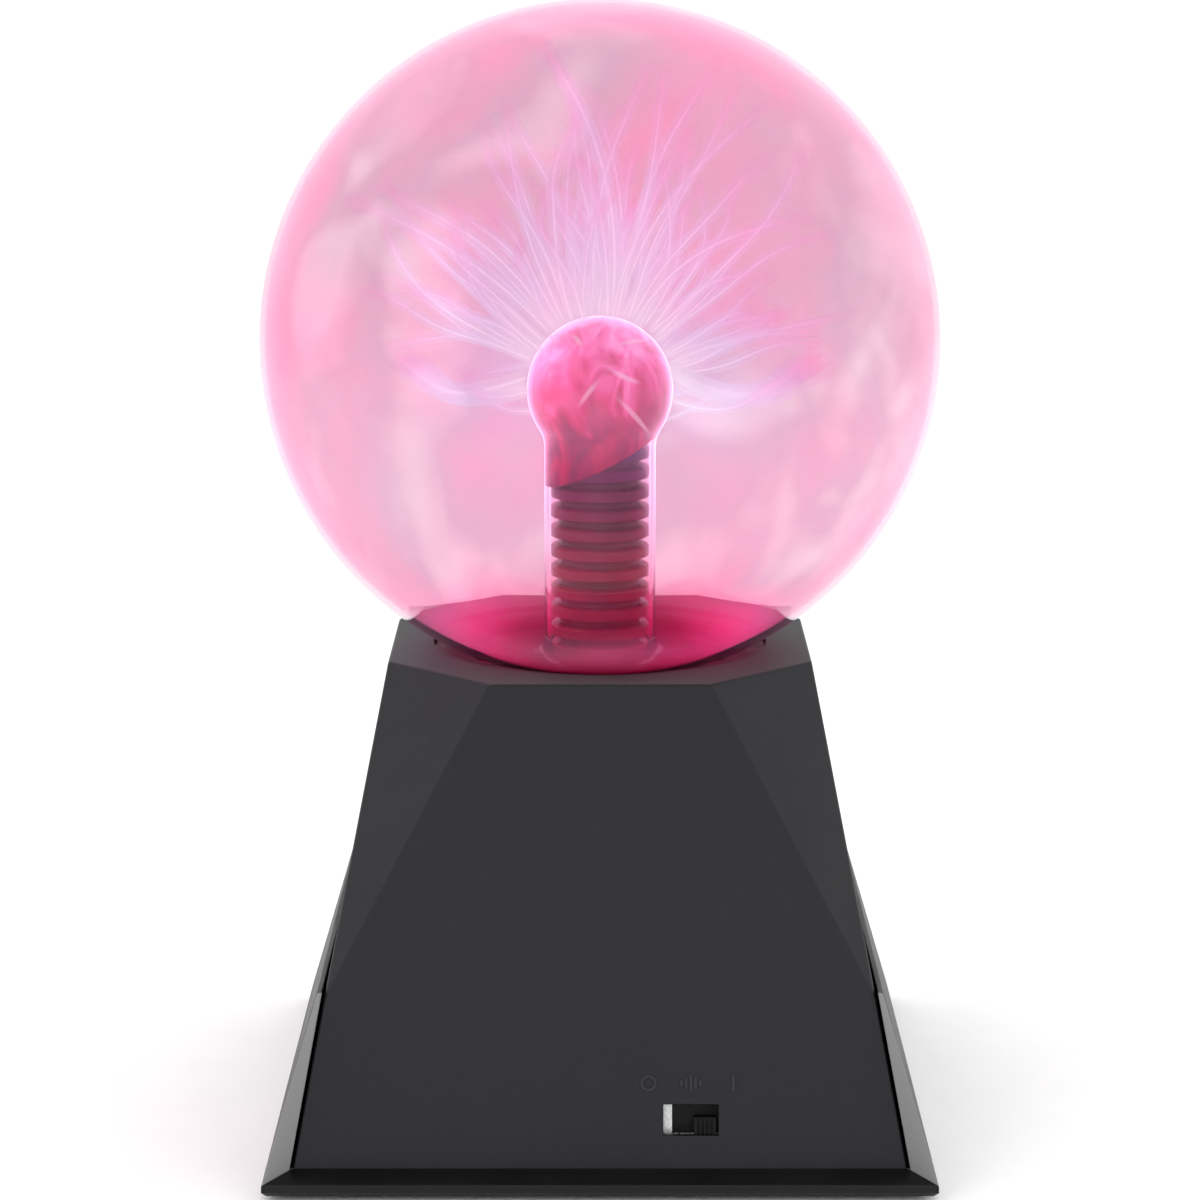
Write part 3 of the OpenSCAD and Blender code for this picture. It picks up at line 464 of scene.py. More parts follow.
# Ionised gas in a discharge: tones and fades list its colour and how solid it is along its length
def dischargeGlow(name, tones, fades, strength):
    material, tree = newMaterial(name)
    along = addNode(tree, "ShaderNodeAttribute", attribute_name="along").outputs["Fac"]
    tone = addNode(tree, "ShaderNodeValToRGB", {"Fac": along}, stops=tones)
    fade = addNode(tree, "ShaderNodeValToRGB", {"Fac": along}, stops=fades)
    clear = addNode(tree, "ShaderNodeBsdfTransparent")
    light = addNode(tree, "ShaderNodeEmission", {"Color": tone.outputs["Color"], "Strength": strength})
    both = addNode(tree, "ShaderNodeMixShader", {0: fade.outputs["Color"], 1: clear.outputs[0], 2: light.outputs[0]})
    addNode(tree, "ShaderNodeOutputMaterial", {"Surface": both.outputs[0]})
    return material


coatLook = {"tones": ("#7a1a52", "#b01c54", "#cf2f6c", "#f06ca8", "#fc9ccf", "#ffbce4"), "blotMm": 6.667, "drawn": 0.45,
            "low": 142 * mm, "high": 179 * mm, "contrast": 1.2, "shift": -0.61, "roughness": 0.4, "shine": 0.2,
            "glow": 0.35}


# The conductive coating, washed into the bulb, in drawn-out blots: crimson low down, pink and paler high up,
# with the light behind it painted on as a glow
def glowingCoat():
    look = coatLook
    material, tree = newMaterial("conductiveCoating")
    place = addNode(tree, "ShaderNodeTexCoord").outputs["Object"]
    stretched = addNode(tree, "ShaderNodeMapping", {"Vector": place, "Scale": (1.0, 1.0, look["drawn"])})
    blots = addNode(tree, "ShaderNodeTexNoise", {"Vector": stretched.outputs[0], "Scale": 1 / (look["blotMm"] * mm),
                                                 "Detail": 2.5, "Distortion": 1.4})
    height = addNode(tree, "ShaderNodeSeparateXYZ", {"Vector": place})
    level = addNode(tree, "ShaderNodeMapRange", {"Value": height.outputs["Z"], "From Min": look["low"],
                                                 "From Max": look["high"]})
    shifted = addNode(tree, "ShaderNodeMath", {0: blots.outputs["Fac"], 1: look["contrast"], 2: look["shift"]},
                      operation="MULTIPLY_ADD")
    mixed = addNode(tree, "ShaderNodeMath", {0: level.outputs[0], 1: shifted.outputs[0]}, operation="ADD")
    tone = addNode(tree, "ShaderNodeValToRGB", {"Fac": mixed.outputs[0]},
                   stops=list(zip((0.0, 0.28, 0.5, 0.72, 0.9, 1.0), look["tones"]))).outputs["Color"]
    # painted glow: the coat shines in its own tone, for the light behind it
    shader = addNode(tree, "ShaderNodeBsdfPrincipled",
                     {"Base Color": tone, "Roughness": look["roughness"], "Specular IOR Level": look["shine"],
                      "Emission Color": tone, "Emission Strength": look["glow"]})
    addNode(tree, "ShaderNodeOutputMaterial", {"Surface": shader.outputs[0]})
    return material


rubberLook = {"tones": ("#96082f", "#940e36", "#741646", "#3c1862"), "low": 105 * mm, "high": 152 * mm,
              "bloomTone": "#2a0a20", "bloomMm": 11.11, "relief": 0.02, "roughness": 0.16, "shine": 0.35,
              "glow": (0.08, 0.46), "grooveRadius": 9.3 * mm, "ribRadius": 10.9 * mm}


# Corrugated conductive rubber, moulded, its colour painted light: plum high up where the bulb's light falls on it
# and crimson low down in the gas's glow, with a painted glow on its ribs and little of it in the grooves
def sleeveRubber():
    look = rubberLook
    material, tree = newMaterial("corrugatedRubber")
    place = addNode(tree, "ShaderNodeTexCoord").outputs["Object"]
    height = addNode(tree, "ShaderNodeSeparateXYZ", {"Vector": place})
    level = addNode(tree, "ShaderNodeMapRange", {"Value": height.outputs["Z"], "From Min": look["low"],
                                                 "From Max": look["high"]})
    bloom = addNode(tree, "ShaderNodeTexNoise",
                    {"Vector": place, "Scale": 1 / (look["bloomMm"] * mm), "Detail": 2.0}).outputs["Fac"]
    # painted light: the glow's colour on the rubber, plum high up and crimson low down
    tone = addNode(tree, "ShaderNodeValToRGB", {"Fac": level.outputs[0]},
                   stops=list(zip((0.0, 0.35, 0.7, 1.0), look["tones"]))).outputs["Color"]
    worn = addNode(tree, "ShaderNodeMix", {"Factor": bloom, "A": tone, "B": srgb(look["bloomTone"])},
                   data_type="RGBA")
    flat = addNode(tree, "ShaderNodeVectorMath", {0: place, 1: (1, 1, 0)}, operation="MULTIPLY")
    out = addNode(tree, "ShaderNodeVectorMath", {0: flat.outputs[0]}, operation="LENGTH")
    # painted glow, strong on the ribs and weak in the grooves
    depth = addNode(tree, "ShaderNodeMapRange", {"Value": out.outputs["Value"], "From Min": look["grooveRadius"],
                                                 "From Max": look["ribRadius"], "To Min": look["glow"][0],
                                                 "To Max": look["glow"][1]})
    bump = addNode(tree, "ShaderNodeBump", {"Height": bloom, "Distance": look["relief"] * mm})
    shader = addNode(tree, "ShaderNodeBsdfPrincipled",
                     {"Base Color": worn.outputs[2], "Roughness": look["roughness"],
                      "Specular IOR Level": look["shine"], "Emission Color": tone,
                      "Emission Strength": depth.outputs[0], "Normal": bump.outputs[0]})
    addNode(tree, "ShaderNodeOutputMaterial", {"Surface": shader.outputs[0]})
    return material


globeSize = {"outerRadius": (globeBox[1].x - globeBox[0].x) / 2, "crownGlass": 1.0 * mm, "neckGather": 0.3 * mm,
             "neckRadius": 30 * mm, "neckWall": 3 * mm, "lip": 0.8 * mm, "segments": 160}
bulbSize = {"radius": 16.2 * mm, "tubeRadius": 12.4 * mm, "wall": 1.1 * mm, "shoulder": 7 * mm, "floor": 103.5 * mm,
            "floorGlass": 2.5 * mm, "rootFillet": 4 * mm, "tipRadius": 2.4 * mm, "tipPlace": 19 * mm,
            "coatLow": 138 * mm, "coatInset": 0.35 * mm, "gasGap": 0.35 * mm, "gasFloor": 25.5 * mm, "segments": 96}


def sphereArc(centreHeight, radius, lowRadius, steps):
    start = -math.degrees(math.acos(lowRadius / radius))
    return arc((0, centreHeight), radius, start, 90, steps)


# The globe: out of the crown's inside, down to the neck's rim and up again outside
def makeGlobe():
    size = globeSize
    outerZ = globeBox[1].z - size["outerRadius"]
    innerR = size["outerRadius"] - size["crownGlass"] - size["neckGather"] / 2
    innerZ = outerZ + size["neckGather"] / 2
    rim = globeBox[0].z
    boreR = size["neckRadius"] - size["neckWall"]
    inside = sphereArc(innerZ, innerR, boreR, 84)[::-1]
    outside = sphereArc(outerZ, size["outerRadius"], size["neckRadius"], 90)
    inside[0] = (0, inside[0][1])
    outside[-1] = (0, outside[-1][1])
    lip = size["lip"]
    neck = [(boreR, rim + lip * 2)] + arc((boreR + lip, rim + lip), lip, 180, 270, 4)
    neck += arc((size["neckRadius"] - lip, rim + lip), lip, 270, 360, 4)
    profile = inside + neck + outside
    globe = placeMesh("blownGlobe", latheMesh("blownGlobe", profile, size["segments"]))
    finishPiece(globe, blownGlass("blownSodaGlass", glassLook), "base", "globe_glass", "glass_globe")
    return innerR, innerZ


# Profile of the electrode at a distance outside its glass; a negative one lies inside it
def electrodeLine(offset, lowZ, filletSteps=10):
    size = bulbSize
    r, tube = size["radius"] + offset, size["tubeRadius"] + offset
    bend = size["shoulder"] - offset
    across = tube + bend
    drop = math.sqrt((r + bend) ** 2 - across ** 2)
    turn = math.degrees(math.atan2(drop, across))
    shoulder = arc((across, bulbCentre.z - drop), bend, 180, 180 - turn, filletSteps)
    dome = arc((0, bulbCentre.z), r, -turn, 90, 40)
    dome[-1] = (0, dome[-1][1])
    return [(tube, lowZ)] + shoulder + dome[1:]


def makeElectrode():
    size = bulbSize
    low = size["floor"] - size["floorGlass"]
    edge = stemBox[1].x
    fillet = size["rootFillet"]
    inside = electrodeLine(-size["wall"], low)[::-1]
    root = arc((size["tubeRadius"] + fillet, size["floor"] + fillet), fillet, 270, 180, 8)
    outside = electrodeLine(0, size["floor"] + fillet)[1:]
    profile = inside + [(edge, low), (edge, size["floor"])] + root + outside
    tip = arc((0, stemBox[0].z + 1.2 * mm), 1.2 * mm, -90, -20, 5)
    tip[0] = (0, tip[0][1])
    tip += [(size["tipRadius"], stemBox[0].z + 4 * mm), (size["tipRadius"], low + 0.5 * mm), (0, low + 0.5 * mm)]
    meshes = [latheMesh("stemGlass", profile, size["segments"]),
              latheMesh("pumpingTip", tip, 24, (size["tipPlace"], 0, 0))]
    stem = placeMesh("electrodeGlass", joinMeshes("electrodeGlass", meshes))
    finishPiece(stem, blownGlass("stemSodaGlass", stemLook), "base", "electrode_glass", "electrode_stem")


sleeveCut = {"height": 147.2 * mm, "slant": 25.5, "lean": 5}


# Cuts a closed mesh along the sleeve's slanted end, raised by a gap, and closes the cut
def cutSlanted(mesh, gap, keepUpper):
    bm = bmesh.new()
    bm.from_mesh(mesh)
    turn = Matrix.Rotation(math.radians(-sleeveCut["slant"]), 3, "Y")
    turn = turn @ Matrix.Rotation(math.radians(sleeveCut["lean"]), 3, "X")
    cut = bmesh.ops.bisect_plane(bm, geom=bm.verts[:] + bm.edges[:] + bm.faces[:], dist=1e-7,
                                 plane_co=(0, 0, sleeveCut["height"] + gap), plane_no=turn @ Vector((0, 0, 1)),
                                 clear_inner=keepUpper, clear_outer=not keepUpper)
    rim = [item for item in cut["geom_cut"] if isinstance(item, bmesh.types.BMEdge)]
    bmesh.ops.triangle_fill(bm, edges=rim, use_beauty=True, use_dissolve=False)
    bmesh.ops.recalc_face_normals(bm, faces=bm.faces)
    bm.to_mesh(mesh)
    bm.free()


# The coating stops above the sleeve's slanted end
def makeCoat():
    low = bulbSize["coatLow"]
    line = electrodeLine(-bulbSize["coatInset"], low)  # fused into the wall, so that it fills the bulb's outline
    mesh = latheMesh("electrodeCoat", [(0, low)] + line, bulbSize["segments"])
    cutSlanted(mesh, 0.4 * mm, True)
    finishPiece(placeMesh("electrodeCoat", mesh), glowingCoat(), "base", "electrode_glass")


# The glowing gas fills the globe round the electrode and stops just short of the glass
def makeGas(innerR, innerZ):
    gap = bulbSize["gasGap"]
    fillet = bulbSize["rootFillet"]
    floorZ = bulbSize["floor"] + gap
    inside = electrodeLine(gap, floorZ + fillet)[::-1]
    foot = arc((bulbSize["tubeRadius"] + fillet, bulbSize["floor"] + fillet), fillet - gap, 180, 270, 8)
    edge = bulbSize["gasFloor"]
    r = innerR - gap
    low = innerZ - math.sqrt(r * r - edge * edge)
    outside = sphereArc(innerZ, r, edge, 90)
    outside[-1] = (0, outside[-1][1])
    profile = inside[:-1] + foot + [(edge, floorZ)] + (outside if low > floorZ else outside[1:])
    gas = placeMesh("glowingGas", latheMesh("glowingGas", profile, 144))
    finishPiece(gas, glowingGas(), "base", "globe_glass")


innerRadius, innerCentreZ = makeGlobe()
makeElectrode()
makeCoat()
makeGas(innerRadius, innerCentreZ)
print("globe, electrode and gas made")


sleeve = {"ribs": 14, "pitch": 4.45 * mm, "ribRadius": 11 * mm, "grooveDepth": 1.9 * mm, "grooveShare": 0.4,
          "pointsPerRib": 16, "sides": 96}


# A tube whose radius rises and falls once in each pitch
def makeSleeve():
    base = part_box("ribbed_sleeve")[0].z
    tree, given = newGeometryTree("corrugatedTube", [
        ("Pitch", "NodeSocketFloat"), ("Ribs", "NodeSocketInt"), ("Rib Radius", "NodeSocketFloat"),
        ("Groove Depth", "NodeSocketFloat"), ("Groove Share", "NodeSocketFloat"), ("Points per Rib", "NodeSocketInt"),
        ("Sides", "NodeSocketInt"), ("Foot Height", "NodeSocketFloat"), ("Material", "NodeSocketMaterial")])
    length = addNode(tree, "ShaderNodeMath", {0: given["Pitch"], 1: given["Ribs"]}, operation="MULTIPLY")
    count = addNode(tree, "ShaderNodeMath", {0: given["Ribs"], 1: given["Points per Rib"]}, operation="MULTIPLY")
    end = addNode(tree, "ShaderNodeCombineXYZ", {"Z": length.outputs[0]})
    line = addNode(tree, "GeometryNodeCurvePrimitiveLine", {"End": end.outputs[0]})
    points = addNode(tree, "GeometryNodeResampleCurve", {"Curve": line.outputs[0], "Count": count.outputs[0]})
    here = addNode(tree, "ShaderNodeSeparateXYZ", {"Vector": addNode(tree, "GeometryNodeInputPosition").outputs[0]})
    turns = addNode(tree, "ShaderNodeMath", {0: here.outputs["Z"], 1: given["Pitch"]}, operation="DIVIDE")
    phase = addNode(tree, "ShaderNodeMath", {0: turns.outputs[0]}, operation="FRACT")
    away = addNode(tree, "ShaderNodeMath", {0: phase.outputs[0], 1: 0.5}, operation="SUBTRACT")
    away = addNode(tree, "ShaderNodeMath", {0: away.outputs[0]}, operation="ABSOLUTE")
    half = addNode(tree, "ShaderNodeMath", {0: given["Groove Share"], 1: 0.5}, operation="MULTIPLY")
    first = addNode(tree, "ShaderNodeMath", {0: half.outputs[0], 1: 0.06}, operation="SUBTRACT")
    last = addNode(tree, "ShaderNodeMath", {0: half.outputs[0], 1: 0.06}, operation="ADD")
    rise = addNode(tree, "ShaderNodeMapRange", {"Value": away.outputs[0], "From Min": first.outputs[0],
                                                "From Max": last.outputs[0]}, interpolation_type="SMOOTHSTEP")
    low = addNode(tree, "ShaderNodeMath", {0: given["Rib Radius"], 1: given["Groove Depth"]}, operation="SUBTRACT")
    radius = addNode(tree, "ShaderNodeMath", {0: given["Groove Depth"], 1: rise.outputs[0], 2: low.outputs[0]},
                     operation="MULTIPLY_ADD")
    ring = addNode(tree, "GeometryNodeCurvePrimitiveCircle", {"Resolution": given["Sides"], "Radius": 1.0})
    tube = addNode(tree, "GeometryNodeCurveToMesh", {"Curve": points.outputs[0], "Profile Curve": ring.outputs[0],
                                                     "Scale": radius.outputs[0], "Fill Caps": True})
    lift = addNode(tree, "ShaderNodeCombineXYZ", {"Z": given["Foot Height"]})
    moved = addNode(tree, "GeometryNodeTransform", {"Geometry": tube.outputs[0], "Translation": lift.outputs[0]})
    endGeometryTree(tree, moved.outputs[0], given["Material"])
    material = sleeveRubber()
    start = bpy.data.objects.new("sleeveStart", bpy.data.meshes.new("sleeveStart"))
    piece = growMesh("corrugatedSleeve", start, tree, {
        "Pitch": sleeve["pitch"], "Ribs": sleeve["ribs"], "Rib Radius": sleeve["ribRadius"],
        "Groove Depth": sleeve["grooveDepth"], "Groove Share": sleeve["grooveShare"],
        "Points per Rib": sleeve["pointsPerRib"], "Sides": sleeve["sides"], "Foot Height": base,
        "Material": material})
    cutSlanted(piece.data, 0, False)
    piece.data.shade_smooth()
    piece.data.set_sharp_from_angle(angle=math.radians(40))
    finishPiece(piece, material, "base", "sleeve_rubber", "ribbed_sleeve")


makeSleeve()
print("sleeve made")


streams = {"seed": 11, "tufts": 30, "strands": 5, "sideStreams": 16, "strongPairs": 4, "steps": 22,
           "goldenTurn": 2.39996, "openFront": -0.3, "openSide": -0.35}
streamTones = [(0.0, "#fffaff"), (0.4, "#f3e2ff"), (0.75, "#f7c6f0"), (1.0, "#ff98cd")]
streamLayers = [
    {"name": "streamCores", "glow": "ionisedNeonCore", "width": 0.24 * mm, "sides": 6, "strength": 1.25,
     "tones": streamTones, "fades": [(0.0, 0.0), (0.05, 0.7), (0.4, 0.5), (0.75, 0.24), (1.0, 0.0)]},
    {"name": "streamHalos", "glow": "ionisedNeonSheath", "width": 1.25 * mm, "sides": 10, "strength": 1.1,
     "tones": streamTones, "fades": [(0.0, 0.0), (0.05, 0.3), (0.4, 0.22), (0.8, 0.15), (1.0, 0.0)]},
]
creepLayer = {"name": "creepingStreams", "glow": "creepingDischarge", "width": 0.5 * mm, "sides": 8, "strength": 1.1,
              "tones": [(0.0, "#ffd9f4"), (0.5, "#fff0fb"), (1.0, "#ffc4ec")],
              "fades": [(0.0, 0.0), (0.3, 0.42), (0.7, 0.42), (1.0, 0.0)]}


# Tubes along a curve object's paths, as wide as the points' radii say, marked with their share of the way
def sweepTree():
    tree, given = newGeometryTree("sweepAlongPaths", [
        ("Width", "NodeSocketFloat"), ("Sides", "NodeSocketInt"), ("Material", "NodeSocketMaterial")])
    share = addNode(tree, "GeometryNodeSplineParameter")
    marked = addNode(tree, "GeometryNodeStoreNamedAttribute",
                     {"Geometry": given["Geometry"], "Name": "along", "Value": share.outputs["Factor"]},
                     data_type="FLOAT", domain="POINT")
    ring = addNode(tree, "GeometryNodeCurvePrimitiveCircle", {"Resolution": given["Sides"], "Radius": given["Width"]})
    swell = addNode(tree, "GeometryNodeInputRadius")
    tube = addNode(tree, "GeometryNodeCurveToMesh", {"Curve": marked.outputs[0], "Profile Curve": ring.outputs[0],
                                                     "Scale": swell.outputs[0], "Fill Caps": True})
    endGeometryTree(tree, tube.outputs[0], given["Material"])
    return tree


def pathsObject(name, paths):
    curve = bpy.data.curves.new(name, "CURVE")
    curve.dimensions = "3D"
    for path in paths:
        spline = curve.splines.new("POLY")
        spline.points.add(len(path) - 1)
        for point, (place, radius) in zip(spline.points, path):
            point.co = (*place, 1)
            point.radius = radius
    return bpy.data.objects.new(name, curve)


# Keeps a discharge inside the gas
def heldIn(place):
    centre = Vector((0, 0, innerCentreZ))
    away = place - centre
    limit = innerRadius - 3 * mm
    return centre + away * min(1, limit / away.length)


def strandPath(root, swing, length, wobble, rng, width=1.0):
    side = root.cross(swing).normalized() if root.cross(swing).length > 0.01 else Vector((0, 1, 0))
    phase, pace = rng.uniform(0, 6.3), rng.uniform(5, 9)
    path = []
    for i in range(streams["steps"] + 1):
        t = i / streams["steps"]
        heading = (root + swing * t ** 1.4).normalized()
        reach = bulbSize["radius"] + 0.3 * mm + length * t
        shake = side * math.sin(phase + pace * t) * wobble * t
        place = bulbCentre + heading * reach + shake
        path.append((heldIn(place), width * (0.75 + 0.5 * t) * (1 if i < streams["steps"] else 0.3)))
    return path


# A long side discharge: out level, sagging a little and lifting at its end
def sidePath(angle, startZ, length, sag, rise, rng, width=1.0):
    out = Vector((math.cos(angle), math.sin(angle), 0))
    across = Vector((-out.y, out.x, 0))
    phase = rng.uniform(0, 6.3)
    path = []
    for i in range(streams["steps"] + 1):
        t = i / streams["steps"]
        z = startZ * (1 - t) - sag * math.sin(math.pi * min(t / 0.8, 1)) + rise * max(0, (t - 0.5) / 0.5) ** 2
        root = math.sqrt(bulbSize["radius"] ** 2 - startZ ** 2)
        place = bulbCentre + out * (root + length * t) + across * math.sin(phase + 6 * t) * 0.6 * mm * t
        thick = width * (0.8 + 0.7 * t) * (1 if i < streams["steps"] else 0.3)
        path.append((heldIn(place + Vector((0, 0, z))), thick))
    return path


def streamPaths():
    rng = random.Random(streams["seed"])
    paths = []
    for k in range(streams["tufts"]):
        lift = math.radians(84 - 72 * (k / (streams["tufts"] - 1)) ** 0.8)
        bearing = k * streams["goldenTurn"] + 0.4
        root = Vector((math.cos(lift) * math.cos(bearing), math.cos(lift) * math.sin(bearing), math.sin(lift)))
        if root.y < streams["openFront"]:
            continue  # the front of the bulb is left open
        for _ in range(streams["strands"]):
            tilt = rng.uniform(0, 2 * math.pi)
            swing = Vector((math.cos(tilt), math.sin(tilt), rng.uniform(-0.3, 0.5))) * rng.uniform(0.15, 0.55)
            start = (root + Vector([rng.uniform(-0.13, 0.13) for _ in range(3)])).normalized()
            length = rng.uniform(26, 50 + 14 * root.z) * mm
            paths.append(strandPath(start, swing, length, 1.6 * mm, rng, rng.uniform(0.7, 1.2)))
    for k in range(streams["sideStreams"]):
        angle = 2 * math.pi * (k + 0.5) / streams["sideStreams"] + rng.uniform(-0.15, 0.15)
        path = sidePath(angle, rng.uniform(-8, 6) * mm, rng.uniform(14, 30) * mm, rng.uniform(0, 3) * mm,
                        rng.uniform(-2, 6) * mm, rng, rng.uniform(0.6, 1.1))
        if math.sin(angle) > streams["openSide"]:
            paths.append(path)
    for _ in range(streams["strongPairs"]):  # the strongest, left and right
        more = rng.uniform(-3, 3) * mm
        paths.append(sidePath(math.pi + more * 60, 2.4 * mm + more, 31 * mm + more, 2.2 * mm, 10 * mm + more, rng, 1.7))
        paths.append(sidePath(more * 50, 2.9 * mm - more, 36 * mm + more, 3.6 * mm, 7 * mm - more, rng, 1.7))
    return paths


violetHaze = {"shells": 14, "firstRadius": 17.4 * mm, "lastRadius": 44 * mm, "segments": 64, "rings": 40, "solid": 0.08,
              "streaks": 5.0, "frontShare": 0.3, "strength": 1.2,
              "tones": [(0.0, "#f2ecff"), (0.4, "#d6d6ff"), (1.0, "#dcc4f4")]}


# Ionised gas round the bulb: violet-white, thinning outwards in soft rays, weaker in front and below
def glowingHaze():
    look = violetHaze
    material, tree = newMaterial("ionisedGasHaze")
    place = addNode(tree, "ShaderNodeTexCoord").outputs["Object"]
    away = addNode(tree, "ShaderNodeVectorMath", {0: place, 1: bulbCentre}, operation="SUBTRACT").outputs[0]
    heading = addNode(tree, "ShaderNodeVectorMath", {0: away}, operation="NORMALIZE").outputs[0]
    reach = addNode(tree, "ShaderNodeVectorMath", {0: away}, operation="LENGTH").outputs["Value"]
    rays = addNode(tree, "ShaderNodeTexNoise", {"Vector": heading, "Scale": look["streaks"], "Detail": 3.0})
    bright = addNode(tree, "ShaderNodeMapRange", {"Value": rays.outputs["Fac"], "From Min": 0.35, "From Max": 0.65,
                                                  "To Min": 0.25 * look["solid"], "To Max": look["solid"]})
    near = addNode(tree, "ShaderNodeMapRange", {"Value": reach, "From Min": look["firstRadius"],
                                                "From Max": look["lastRadius"], "To Min": 1.0, "To Max": 0.08})
    parts = addNode(tree, "ShaderNodeSeparateXYZ", {"Vector": heading})
    front = addNode(tree, "ShaderNodeMapRange", {"Value": parts.outputs["Y"], "From Min": -0.9, "From Max": -0.35,
                                                 "To Min": look["frontShare"], "To Max": 1.0})
    upper = addNode(tree, "ShaderNodeMapRange", {"Value": parts.outputs["Z"], "From Min": -0.62, "From Max": -0.1})
    solid = bright.outputs[0]
    for part in (near, front, upper):
        solid = addNode(tree, "ShaderNodeMath", {0: solid, 1: part.outputs[0]}, operation="MULTIPLY").outputs[0]
    fall = addNode(tree, "ShaderNodeMapRange", {"Value": reach, "From Min": look["firstRadius"],
                                                "From Max": look["lastRadius"]})
    tone = addNode(tree, "ShaderNodeValToRGB", {"Fac": fall.outputs[0]}, stops=look["tones"]).outputs["Color"]
    clear = addNode(tree, "ShaderNodeBsdfTransparent")
    light = addNode(tree, "ShaderNodeEmission", {"Color": tone, "Strength": look["strength"]})
    both = addNode(tree, "ShaderNodeMixShader", {0: solid, 1: clear.outputs[0], 2: light.outputs[0]})
    addNode(tree, "ShaderNodeOutputMaterial", {"Surface": both.outputs[0]})
    return material


# Nested spheres round the bulb, each a little larger than the last
def makeHaze():
    look = violetHaze
    tree, given = newGeometryTree("nestedShells", [
        ("Shells", "NodeSocketInt"), ("First Radius", "NodeSocketFloat"), ("Last Radius", "NodeSocketFloat"),
        ("Segments", "NodeSocketInt"), ("Rings", "NodeSocketInt"), ("Centre", "NodeSocketVector"),
        ("Material", "NodeSocketMaterial")])
    line = addNode(tree, "GeometryNodeMeshLine", {"Count": given["Shells"], "Offset": (0, 0, 0)})
    last = addNode(tree, "ShaderNodeMath", {0: given["Shells"], 1: 1.0}, operation="SUBTRACT")
    size = addNode(tree, "ShaderNodeMapRange", {"Value": addNode(tree, "GeometryNodeInputIndex").outputs[0],
                                                "From Max": last.outputs[0], "To Min": given["First Radius"],
                                                "To Max": given["Last Radius"]})
    ball = addNode(tree, "GeometryNodeMeshUVSphere", {"Segments": given["Segments"], "Rings": given["Rings"],
                                                       "Radius": 1.0})
    shells = addNode(tree, "GeometryNodeInstanceOnPoints", {"Points": line.outputs[0], "Instance": ball.outputs[0],
                                                            "Scale": size.outputs[0]})
    moved = addNode(tree, "GeometryNodeTransform", {"Geometry": shells.outputs[0], "Translation": given["Centre"]})
    endGeometryTree(tree, moved.outputs[0], given["Material"])
    material = glowingHaze()
    start = bpy.data.objects.new("hazeStart", bpy.data.meshes.new("hazeStart"))
    piece = growMesh("electrodeHaze", start, tree, {
        "Shells": look["shells"], "First Radius": look["firstRadius"], "Last Radius": look["lastRadius"],
        "Segments": look["segments"], "Rings": look["rings"], "Centre": bulbCentre, "Material": material}, 60)
    finishPiece(piece, material, "base", "electrode_glass")


def sweepLayer(layer, paths, tree):
    material = dischargeGlow(layer["glow"], layer["tones"], layer["fades"], layer["strength"])
    piece = growMesh(layer["name"], pathsObject(layer["name"] + "Paths", paths), tree,
                     {"Width": layer["width"], "Sides": layer["sides"], "Material": material}, 60)
    finishPiece(piece, material, "base", "electrode_glass")


# Short discharges that creep over the coating, just under the bulb's glass. Each line is in mm across
# and up from the bulb's middle, as seen from in front and a little above.
creepLines = [
    [(0.0, 1.3), (-2.2, -1.2), (-5.1, -5.1)], [(1.5, 3.8), (5.0, 1.4), (9.3, 0.4)],
    [(2.7, -1.8), (7.4, -6.2), (11.0, -10.4)], [(2.9, 8.0), (5.3, 9.8), (10.9, 10.2)],
    [(-3.5, 7.5), (-4.7, 10.4), (-6.4, 11.3)],
]


def creepPaths():
    radius = bulbSize["radius"] - 0.45 * mm
    paths = []
    for k, line in enumerate(creepLines * 3):
        turn = Matrix.Rotation(math.radians(-11.4), 3, "X")
        turn = Matrix.Rotation(math.radians(120 * (k // len(creepLines))), 3, "Z") @ turn
        path = []
        for i in range(13):
            t = i / 12
            x, z = [(a * (1 - t) ** 2 + 2 * b * t * (1 - t) + c * t * t) * mm for a, b, c in zip(*line)]
            depth = math.sqrt(max(radius ** 2 - x * x - z * z, (2 * mm) ** 2))
            away = (turn @ Vector((x, -depth, z))).normalized()
            path.append((bulbCentre + away * radius, 0.6 + 0.6 * math.sin(math.pi * i / 12)))
        paths.append(path)
    return paths


def makeStreams():
    tree = sweepTree()
    paths = streamPaths()
    for layer in streamLayers:
        sweepLayer(layer, paths, tree)
    sweepLayer(creepLayer, creepPaths(), tree)


makeStreams()
makeHaze()
print("discharges and haze made")


# Face-weighted normals, so that flat faces stay flat beside their rounded edges
def weighNormals(mesh, smoothAngle):
    limit = math.cos(math.radians(smoothAngle))
    around = [[] for _ in mesh.vertices]
    for face in mesh.polygons:
        for v in face.vertices:
            around[v].append(face.index)
    faces = [(face.normal.copy(), face.area) for face in mesh.polygons]
    normals = [None] * len(mesh.loops)
    for face in mesh.polygons:
        own = faces[face.index][0]
        for i in face.loop_indices:
            total = Vector()
            for other in around[mesh.loops[i].vertex_index]:
                normal, area = faces[other]
                if normal.dot(own) > limit:
                    total += normal * area
            normals[i] = total.normalized() if total.length else own
    mesh.normals_split_custom_set(normals)


